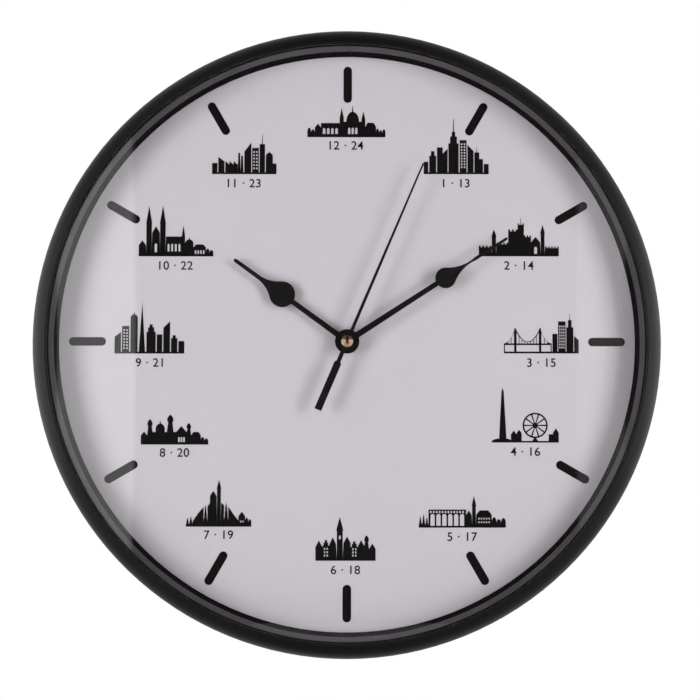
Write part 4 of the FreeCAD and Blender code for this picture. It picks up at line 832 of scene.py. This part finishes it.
# Each town in mm: hour, middle and height of its foot on the dial, width, height, drop to the numerals, forms
TOWNS = [
    (12, -0.6, 99.0, 37.8, 15.1, 4.0, [
        trees(3.6, 4.2, 2), gable(3.0, 4.2, 1.8),
        with_holes(flat(9.0, 6.2), arches(0.9, 1.4, 4, 1.2, 2.6, 2.0)),
        spire(2.0, 8.4, 4.6), with_holes(dome(8.6, 6.8, 4.4, 2.4, 1.2), arches(2.1, 1.4, 3, 1.1, 2.8, 1.7)),
        spire(1.8, 8.0, 3.4), hipped(5.2, 4.6, 1.8), trees(4.6, 3.8, 3)]),
    (1, 52.5, 81.1, 31.4, 26.8, 4.4, [
        flat(2.2, 6.0), gap(0.5), steps(3.4, [9.0, 11.2]), gap(0.4), flat(2.8, 13.0),
        slant(2.4, 10.0, 12.4),
        gap(0.4), mast(steps(5.0, [15.0, 18.4, 20.6]), 6.2, 0.5), gap(0.5),
        with_holes(flat(3.4, 16.6), panes(0.6, 3.0, 2, 9, (0.75, 0.8), (1.4, 1.4))), gap(0.4),
        slant(3.0, 14.4, 11.2), gap(0.4), mast(flat(2.4, 10.6), 2.6), flat(1.8, 7.4), gap(0.4),
        flat(2.4, 5.0)]),
    (2, 82.6, 41.3, 38.6, 18.9, 4.4, [
        battlement(6.0, 5.2, 4), spire(2.6, 9.2, 4.0, 0.3), battlement(5.6, 6.6, 4),
        battlement(4.6, 13.0, 3, 0.9), mast(battlement(3.0, 16.0, 3, 0.7), 2.9), battlement(3.4, 10.2, 3),
        with_holes(gable(4.4, 6.8, 2.6), arches(1.5, 1.2, 1, 1.4, 3.4, 2.0)), spire(2.4, 10.8, 4.6, 0.3),
        battlement(6.6, 4.8, 5)]),
    (3, 93.2, -5.5, 36.0, 19.2, 4.4, [
        span(23.0, 4.0, 11.4), gap(0.4), flat(2.4, 9.4), gap(0.35),
        with_holes(flat(3.6, 15.4), panes(0.55, 2.4, 3, 8, (0.55, 0.85), (0.98, 1.45))), gap(0.35),
        mast(steps(3.4, [12.6, 16.0]), 3.2), gap(0.35), slant(2.2, 8.4, 6.4)]),
    (4, 85.3, -48.2, 32.1, 26.3, 4.3, [
        hill(4.0, 1.0, 2.2, 0.3), taper(4.2, 0.3, 27.8, 2.4), hill(2.4, 2.2, 1.4, 0.2),
        gable(3.2, 4.4, 2.2),
        gable(2.8, 5.2, 1.9), gap(0.5), wheel(7.0, 9.4), gap(0.5), flat(2.4, 4.6), gable(3.2, 5.4, 2.4)]),
    (5, 55.0, -88.7, 41.6, 15.2, 4.3, [
        firs(4.6, 6.4, 3),
        with_holes(flat(17.6, 8.6),
                   arches(0.9, 0.9, 6, 2.0, 5.6, 2.76) + arches(0.7, 6.9, 12, 0.7, 1.1, 1.38)),
        gable(2.6, 6.0, 2.2), spire(2.2, 10.2, 5.0, 0.25),
        with_holes(hipped(7.2, 6.2, 2.0), panes(0.9, 2.2, 5, 2, (0.6, 0.8), (1.2, 1.7))),
        trees(6.6, 5.0, 3)]),
    (6, -0.7, -104.4, 28.7, 20.8, 4.3, [
        gable(3.2, 6.4, 3.2),
        with_holes(steps(3.2, [7.2, 8.6, 9.8]), panes(0.7, 2.0, 2, 3, (0.6, 0.9), (1.2, 1.6))),
        gable(3.0, 7.8, 3.4), with_holes(spire(3.4, 14.2, 6.6, 0.35), arches(1.3, 10.2, 1, 0.8, 1.8, 1.0)),
        gable(3.2, 8.4, 3.2),
        with_holes(steps(3.4, [6.6, 8.0, 9.2]), panes(0.75, 2.0, 2, 3, (0.6, 0.9), (1.3, 1.5))),
        gable(2.8, 7.0, 2.8), onion(2.2, 8.6, 4.6), gable(3.0, 5.6, 2.6)]),
    (7, -61.2, -88.3, 31.2, 22.3, 3.8, [
        firs(3.4, 5.0, 2), hill(5.6, 2.4, 9.4, 0.4), firs(2.0, 12.6, 1), hill(1.2, 9.6, 11.2, 0.0),
        gable(3.4, 14.6, 2.4), spire(2.4, 18.0, 4.3, 0.25), hill(1.4, 11.4, 10.2, 0.0), firs(2.2, 14.0, 1),
        hill(5.2, 9.6, 3.0, -0.3),
        with_holes(gable(3.4, 5.0, 2.2), panes(0.9, 2.0, 2, 1, (0.6, 0.9), (1.1, 1.0))),
        trees(3.2, 4.4, 2)]),
    (8, -82.5, -49.3, 32.2, 15.7, 3.8, [
        gable(3.0, 4.4, 1.8), onion(2.6, 8.4, 5.0), flat(1.4, 6.0), dome(4.4, 7.4, 2.6, 1.4),
        flat(1.0, 6.0),
        onion(3.2, 10.2, 5.5), flat(1.2, 6.0),
        with_holes(gable(5.0, 6.0, 2.8), arches(1.0, 1.2, 3, 0.8, 2.4, 1.2)), onion(2.2, 7.2, 4.2),
        hipped(4.6, 4.4, 1.6), trees(3.6, 3.6, 2)]),
    (9, -94.9, -5.8, 33.4, 25.0, 4.3, [
        slant(3.0, 8.0, 10.4), gap(0.5),
        with_holes(flat(3.4, 13.2), panes(0.6, 2.2, 2, 7, (0.8, 0.75), (1.4, 1.45))), gap(0.6),
        dome(3.4, 17.0, 1.8, 1.0), gap(0.6), taper(3.0, 0.24, 19.0, 6.0), gap(0.6),
        steps(4.4, [10.4, 12.6, 14.0]), gap(0.5),
        flat(2.6, 9.2), gap(0.5), slant(3.2, 12.4, 15.6), gap(0.5), steps(3.0, [7.4, 8.8]), gap(0.5),
        flat(2.8, 6.0)]),
    (10, -82.5, 41.0, 35.9, 24.7, 4.4, [
        gable(3.4, 5.4, 2.4), spire(3.0, 15.6, 8.8, 0.2),
        with_holes(gable(3.6, 11.4, 3.2), arches(1.2, 2.0, 1, 1.2, 4.2, 2.0)),
        spire(3.0, 15.6, 9.1, 0.2), with_holes(slant(7.6, 9.6, 9.6), arches(0.8, 2.4, 4, 0.9, 3.6, 1.75)),
        spire(1.6, 9.8, 5.2),
        dome(4.0, 6.2, 2.0, 0.9), with_holes(hipped(6.0, 4.4, 1.4), arches(0.7, 1.2, 4, 0.7, 1.8, 1.3)),
        trees(3.6, 3.8, 2)]),
    (11, -49.9, 80.9, 31.1, 19.4, 4.4, [
        flat(2.6, 5.4), gap(0.4), slant(3.0, 8.4, 6.2), gap(0.4), saw(6.0, 4.6, 1.8, 3),
        taper(1.4, 0.6, 10.4), taper(1.4, 0.6, 9.0),
        gap(0.4), slant(3.4, 11.0, 15.4), gap(0.4),
        with_holes(flat(3.2, 12.8), panes(0.6, 2.4, 2, 6, (0.7, 0.8), (1.3, 1.6))), gap(0.4),
        mast(flat(2.6, 14.6), 4.8, 0.45), gap(0.4), dome(3.4, 8.8, 1.6, 0.6), flat(1.8, 5.2)]),
]


def print_mesh(name, loops, thick):
    """A printed shape of this thickness from closed loops in metres; inner loops stay open."""
    curve = bpy.data.curves.new(name, "CURVE")
    curve.dimensions = "2D"
    curve.fill_mode = "BOTH"
    curve.extrude = thick / 2
    for loop in loops:
        spline = curve.splines.new("POLY")
        spline.points.add(len(loop) - 1)
        for point, (x, y) in zip(spline.points, loop):
            point.co = (x, y, 0.0, 1.0)
        spline.use_cyclic_u = True
    return stand_print(name, curve)


def stand_print(name, curve):
    """Turn a flat curve or text into a mesh that stands on the dial."""
    flat_piece = add_object(name + "_outline", curve)
    bpy.context.view_layer.update()
    mesh = bpy.data.meshes.new_from_object(flat_piece.evaluated_get(bpy.context.evaluated_depsgraph_get()))
    bpy.data.objects.remove(flat_piece)
    bpy.data.curves.remove(curve)
    mesh.transform(Matrix.Rotation(math.pi / 2, 4, "X"))
    mesh.name = name
    return add_object(name, mesh)


def lay(piece, settings, middle, height):
    """Put a print on the dial, in millimetres from its centre, and give it its ink."""
    piece.location = (
        DIAL_CENTRE.x + middle * MM, DIAL_FACE - settings.print_thick / 2, DIAL_CENTRE.z + height * MM)
    piece.data.materials.append(ink_material(settings))


def town_loops(forms, width, height):
    """Outline and openings of one townscape, fitted to its width and height in metres."""
    outline, holes, x = [(0.0, 0.0)], [], 0.0
    for wide, points, openings in forms:
        outline += [(x + px, py) for px, py in points]
        holes += [[(x + px, py) for px, py in ring] for ring in openings]
        x += wide
    outline.append((x, 0.0))
    tallest = max(y for _, y in outline)
    across, up = width / x, height / tallest
    loops = []
    for ring in [outline] + holes:
        kept = []
        for px, py in ring:
            point = ((px - x / 2) * across, py * up)
            if not kept or math.dist(point, kept[-1]) > NEAR:
                kept.append(point)
        loops.append(kept)
    return loops


class CLOCK_OT_townscapes(bpy.types.Operator):
    """Twelve small printed townscapes, one inside each hour mark."""

    bl_idname = "clock.townscapes"
    bl_label = "Townscapes"

    def execute(self, context):
        settings = context.scene.clock_dial
        for hour, middle, foot, width, height, _, forms in TOWNS:
            piece = print_mesh(
                f"townscape_{hour:02d}", town_loops(forms, width * MM, height * MM), settings.print_thick)
            lay(piece, settings, middle, foot)
            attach(piece, "case")
        return {"FINISHED"}


class CLOCK_OT_numerals(bpy.types.Operator):
    """The two hours of each mark, printed small under its townscape."""

    bl_idname = "clock.numerals"
    bl_label = "Small numerals"

    def execute(self, context):
        settings = context.scene.clock_dial
        for hour, middle, foot, _, _, drop, _ in TOWNS:
            text = bpy.data.curves.new(f"numerals_{hour:02d}", "FONT")
            text.body = f"{hour} · {hour + 12}"
            text.align_x = "CENTER"
            text.align_y = "CENTER"
            text.space_character = NUMERAL_SPACING
            text.offset = settings.boldness
            text.extrude = 0.5
            piece = stand_print(f"numerals_{hour:02d}", text)
            share = settings.numeral_height / piece.dimensions.z
            piece.data.transform(Matrix.Diagonal((share, settings.print_thick, share, 1.0)))
            corners = [Vector(c) for c in piece.bound_box]
            centre = sum(corners, Vector()) / len(corners)
            piece.data.transform(Matrix.Translation((-centre.x, 0.0, -centre.z)))
            lay(piece, settings, middle, foot - drop)
            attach(piece, "case")
        return {"FINISHED"}


class CLOCK_OT_hands(bpy.types.Operator):
    """Painted hands and the polished cap over them."""

    bl_idname = "clock.hands"
    bl_label = "Hands and cap"

    def execute(self, context):
        settings = context.scene.clock_hands
        dress(["hour_hand", "minute_hand", "seconds_hand"], moulded(
            "hand_black", settings.paint, 0.42, spread_share=0.3, grain=1800.0, cloud=50.0,
            depth=0.000003, wear=0.10, specular=0.14))
        brass = tuple(settings.brass)
        dress(["hand_cap"], metal(
            "cap_brass", brass, tuple(0.9 * c for c in brass), 0.14, swing=0.04, along=900.0,
            across=1800.0, depth=0.0000008))
        return {"FINISHED"}


class CLOCK_OT_rear(bpy.types.Operator):
    """Rear cover with its hanger, and the screws that hold it."""

    bl_idname = "clock.rear"
    bl_label = "Rear cover and screws"

    def execute(self, context):
        dress(["back_plate"], moulded(
            "plate_black", (0.030, 0.030, 0.031), 0.52, spread_share=0.35, grain=1400.0, cloud=22.0,
            depth=0.000014, wear=0.10))
        dress(["back_plate_screws"], metal(
            "screw_steel", (0.58, 0.57, 0.55), (0.42, 0.41, 0.40), 0.32, along=700.0, across=1500.0,
            wear=0.4))
        return {"FINISHED"}


class CLOCK_OT_movement(bpy.types.Operator):
    """Movement housing, its bush, nut and washer, and the setting knob."""

    bl_idname = "clock.movement"
    bl_label = "Movement housing"

    def execute(self, context):
        dress(["movement_front_case", "movement_rear_case", "gear_bridge"], moulded(
            "movement_black", (0.022, 0.022, 0.023), 0.46, spread_share=0.35, grain=2200.0, cloud=60.0,
            depth=0.000012, wear=0.12))
        dress(["bush_nut", "bush_washer"], metal(
            "nut_brass", (0.78, 0.60, 0.34), (0.66, 0.48, 0.25), 0.26, along=800.0, across=1800.0, wear=0.3))
        dress(["setting_knob"], moulded(
            "knob_grey", (0.30, 0.30, 0.31), 0.48, spread_share=0.15, grain=2400.0, cloud=120.0,
            wear=0.2))
        return {"FINISHED"}


class CLOCK_OT_gears(bpy.types.Operator):
    """Wheels and arbors of the gear train."""

    bl_idname = "clock.gears"
    bl_label = "Gear train"

    def execute(self, context):
        white = moulded("gear_white", (0.74, 0.73, 0.69), 0.42, spread_share=0.08, grain=2600.0,
                        cloud=150.0, depth=0.000004)
        red = moulded("gear_red", (0.42, 0.045, 0.03), 0.42, spread_share=0.12, grain=2600.0,
                      cloud=150.0, depth=0.000004)
        spring = metal("contact_steel", (0.62, 0.61, 0.58), (0.50, 0.49, 0.47), 0.28, along=120.0)
        pieces = {}
        for name, object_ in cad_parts.items():
            for material in object_.data.materials:
                pieces.setdefault(material.name.split(".")[0], set()).add(name)
        for slot, material in (("gear_white", white), ("gear_red", red), ("contact_steel", spring)):
            dress(sorted(pieces.get(slot, ())), material)
        return {"FINISHED"}


class CLOCK_OT_motor(bpy.types.Operator):
    """Motor and electronics: stator, coil, magnet, board, chip and crystal."""

    bl_idname = "clock.motor"
    bl_label = "Motor and electronics"

    def execute(self, context):
        dress(["rotor_magnet"], moulded("magnet_grey", (0.10, 0.10, 0.105), 0.38, spread_share=0.3,
                                        grain=2600.0, cloud=200.0, swing=0.06))
        dress(["stator", "coil_core"], metal("iron", (0.44, 0.43, 0.42), (0.34, 0.33, 0.32), 0.36))
        dress(["coil_winding"], metal("copper_wire", (0.72, 0.30, 0.14), (0.52, 0.18, 0.07), 0.30,
                                      along=5200.0, across=120.0, depth=0.00002))
        dress(["circuit_board"], moulded("board_brown", (0.20, 0.11, 0.045), 0.55, spread_share=0.3,
                                         grain=1200.0, cloud=90.0, swing=0.06))
        dress(["circuit_chip"], moulded("chip_black", (0.012, 0.012, 0.013), 0.30, spread_share=0.3,
                                        grain=1600.0, cloud=160.0, swing=0.08))
        dress(["quartz_crystal"], metal("crystal_can", (0.66, 0.65, 0.62), (0.54, 0.53, 0.51), 0.24,
                                        along=300.0))
        return {"FINISHED"}


class CLOCK_OT_battery(bpy.types.Operator):
    """Battery cell in a plain printed jacket."""

    bl_idname = "clock.battery"
    bl_label = "Battery cell"

    def execute(self, context):
        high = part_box("battery_cell")[1]
        made, tree, shader = new_material("cell_jacket")
        parts = tree.nodes.new("ShaderNodeSeparateXYZ")
        tree.links.new(object_place(tree), parts.inputs[0])
        band = spread(tree, parts.outputs["X"], high.x - JACKET_END - JACKET_EDGE,
                      high.x - JACKET_END + JACKET_EDGE, 0.0, 1.0)
        jacket = tint(tree, band, JACKET_BLACK, JACKET_COPPER)
        group = place_group(
            tree, mould_group(), Colour=jacket, Colour_Spread=0.15, Grain_Waves=1800.0,
            Cloud_Waves=90.0, Roughness=0.30, Roughness_Spread=0.05)
        join(tree, shader, group)
        shader.inputs["Coat Weight"].default_value = JACKET_COAT
        shader.inputs["Coat Roughness"].default_value = JACKET_COAT_ROUGHNESS
        dress(["battery_cell"], made)
        return {"FINISHED"}


# Stage


def softbox(name, place, target, size, power, colour=WHITE):
    """An area lamp that faces the clock; in reflections the room stands for it."""
    data = bpy.data.lights.new(name, "AREA")
    data.shape = "RECTANGLE"
    data.size, data.size_y = size
    data.energy = power
    data.color = colour
    lamp = add_object(name, data)
    lamp.visible_glossy = False
    lamp.visible_transmission = False
    lamp.location = place
    lamp.rotation_euler = (Vector(target) - Vector(place)).to_track_quat("-Z", "Y").to_euler()


def strip(tree, source, band, level):
    """A strip of the mirrored room, from low to high with soft edges, at this brightness."""
    low, high, soft = band
    return maths(tree, "MULTIPLY", spread(tree, source, low - soft, low, 0.0, level),
                 spread(tree, source, high, high + soft, 1.0, 0.0))


def around(centre, side, up, away):
    """A point in front of the clock, by its angles from the clock's axis in degrees."""
    turn, lift = math.radians(side), math.radians(up)
    return centre + away * Vector((
        math.sin(turn) * math.cos(lift), -math.cos(turn) * math.cos(lift), math.sin(lift)))


class CLOCK_OT_stage(bpy.types.Operator):
    """Pale floor, the room and what mirrors show of it, soft lamps and the camera."""

    bl_idname = "clock.stage"
    bl_label = "Floor, light and camera"

    def execute(self, context):
        settings = context.scene.clock_stage
        scene = context.scene
        scene.view_settings.view_transform = "Standard"
        self.floor(settings)
        self.room(scene, settings)
        centre = Vector((DIAL_CENTRE.x, DIAL_FACE, DIAL_CENTRE.z))
        side, lift, away, size = SIDE_LAMP
        for name, turn in (("lamp_left", -side), ("lamp_right", side)):
            softbox(name, around(centre, turn, lift, away), centre, size, settings.side_power)
        for name, lamp, power, colour in (("lamp_upper", UPPER_LAMP, settings.upper_power, WARM),
                                          ("lamp_lower", LOWER_LAMP, settings.lower_power, WHITE)):
            softbox(name, around(centre, *lamp[:3]), centre, lamp[3], power, colour)
        for turn, lift in REAR_LAMPS:
            softbox(f"lamp_rear_{abs(turn)}", around(centre, turn, lift, REAR_LAMP_AWAY), centre,
                    REAR_LAMP_SIZE, settings.rear_power)
        self.camera(scene)
        return {"FINISHED"}

    def floor(self, settings):
        """A large floor under the clock, pale and slightly uneven, that keeps the clock's shadow."""
        level = Vector(CAD_BOX[0]).z - settings.floor_drop
        corners = [(x * FLOOR_HALF, y * FLOOR_HALF, level) for x, y in ((-1, -1), (1, -1), (1, 1), (-1, 1))]
        mesh = bpy.data.meshes.new("floor")
        mesh.from_pydata(corners, [], [(0, 1, 2, 3)])
        floor = add_object("floor", mesh)
        made = moulded("floor_pale", settings.floor, 0.85, spread_share=0.02, grain=60.0, cloud=1.5,
                       swing=0.03, depth=0.0, specular=0.2)
        self.fade(made)
        floor.data.materials.append(made)
        floor.visible_glossy = False

    def fade(self, made):
        """Away from the clock and its shadow, the floor runs out into the white background."""
        tree = made.node_tree
        away = distance_from(tree, (1.0, 1.0, 0.0), (0.0, 0.0, 0.0))
        far = spread(tree, away, FADE_START, FADE_END, FLOOR_WHITE, 1.0)
        path = tree.nodes.new("ShaderNodeLightPath")
        seen = maths(tree, "MULTIPLY", far, path.outputs["Is Camera Ray"])
        mix_over(tree, seen, tree.nodes.new("ShaderNodeEmission"))

    def room(self, scene, settings):
        """Even light and a white background; mirrors show a dark room in front, with bright strips."""
        world = bpy.data.worlds.new("room")
        scene.world = world
        world.use_nodes = True
        tree = world.node_tree
        back = tree.nodes["Background"]
        path = tree.nodes.new("ShaderNodeLightPath")
        place = tree.nodes.new("ShaderNodeTexCoord")
        parts = tree.nodes.new("ShaderNodeSeparateXYZ")
        tree.links.new(place.outputs["Generated"], parts.inputs[0])
        sides = 0.0
        for band, level in STRIPS:
            sides = maths(tree, "MAXIMUM", strip(tree, parts.outputs["X"], band, level), sides)
        height = maths(tree, "ABSOLUTE", parts.outputs["Z"], 0.0)
        sides = maths(tree, "MULTIPLY", sides, spread(tree, height, *STRIP_TOP, 1.0, STRIP_REST))
        sides = maths(tree, "MAXIMUM", sides, MIRRORED_ROOM)
        behind = spread(tree, parts.outputs["Y"], *BEHIND, sides, 1.0)
        carried = maths(tree, "MAXIMUM", path.outputs["Is Glossy Ray"], path.outputs["Is Transmission Ray"])
        around_it = tree.nodes.new("ShaderNodeMix")
        tree.links.new(carried, around_it.inputs["Factor"])
        around_it.inputs["A"].default_value = settings.ambient
        tree.links.new(behind, around_it.inputs["B"])
        strength = maths(tree, "MAXIMUM", path.outputs["Is Camera Ray"], around_it.outputs["Result"])
        back.inputs["Color"].default_value = (*WHITE, 1.0)
        tree.links.new(strength, back.inputs["Strength"])

    def camera(self, scene):
        """The photograph's own place and tilt: near the axis, a little low, looking slightly up."""
        data = bpy.data.cameras.new("camera")
        data.lens = CAMERA_LENS
        data.sensor_width = SENSOR
        data.shift_x, data.shift_y = CAMERA_SHIFT
        data.clip_start = 0.01
        camera = add_object("camera", data)
        tilt, pan, roll = (math.radians(a) for a in CAMERA_TILT)
        turned = Matrix.Rotation(roll, 3, "Z") @ Matrix.Rotation(pan, 3, "Y") @ Matrix.Rotation(tilt, 3, "X")
        upright = Matrix(((1, 0, 0), (0, 0, -1), (0, 1, 0)))
        spot = Vector((CAMERA_SIDE, DIAL_FACE - CAMERA_AWAY, DIAL_CENTRE.z + CAMERA_LOW))
        camera.matrix_world = Matrix.Translation(spot) @ (upright @ turned.transposed()).to_4x4()
        scene.camera = camera


# Panel and run

STEPS = (
    CLOCK_OT_case, CLOCK_OT_glass, CLOCK_OT_inner_ring, CLOCK_OT_dial, CLOCK_OT_townscapes,
    CLOCK_OT_numerals, CLOCK_OT_hands, CLOCK_OT_rear, CLOCK_OT_gears, CLOCK_OT_movement,
    CLOCK_OT_motor, CLOCK_OT_battery, CLOCK_OT_stage,
)


class CLOCK_PT_panel(bpy.types.Panel):
    """Lists the clock's pieces and settings."""

    bl_label = "Wall clock"
    bl_idname = "CLOCK_PT_panel"
    bl_space_type = "VIEW_3D"
    bl_region_type = "UI"
    bl_category = "Clock"

    def draw(self, context):
        for name, _ in SETTINGS:
            settings = getattr(context.scene, name)
            box = self.layout.box()
            for prop in settings.__annotations__:
                box.prop(settings, prop)
        for step in STEPS:
            self.layout.operator(step.bl_idname)


SETTINGS = (
    ("clock_dial", ClockDialSettings), ("clock_case", ClockCaseSettings),
    ("clock_hands", ClockHandSettings), ("clock_stage", ClockStageSettings),
)


def register():
    for name, settings in SETTINGS:
        bpy.utils.register_class(settings)
        setattr(bpy.types.Scene, name, PointerProperty(type=settings))
    for step in STEPS:
        bpy.utils.register_class(step)
    bpy.utils.register_class(CLOCK_PT_panel)


def unregister():
    bpy.utils.unregister_class(CLOCK_PT_panel)
    for step in reversed(STEPS):
        bpy.utils.unregister_class(step)
    for name, settings in reversed(SETTINGS):
        delattr(bpy.types.Scene, name)
        bpy.utils.unregister_class(settings)


def run_step(step):
    """Call one operator by its name and stop if it didn't finish."""
    group, name = step.bl_idname.split(".")
    result = getattr(getattr(bpy.ops, group), name)()
    if result != {"FINISHED"}:
        raise RuntimeError(f"{step.bl_label} didn't finish")


def main():
    register()
    for step in STEPS:
        run_step(step)


if __name__ == "__main__":
    main()
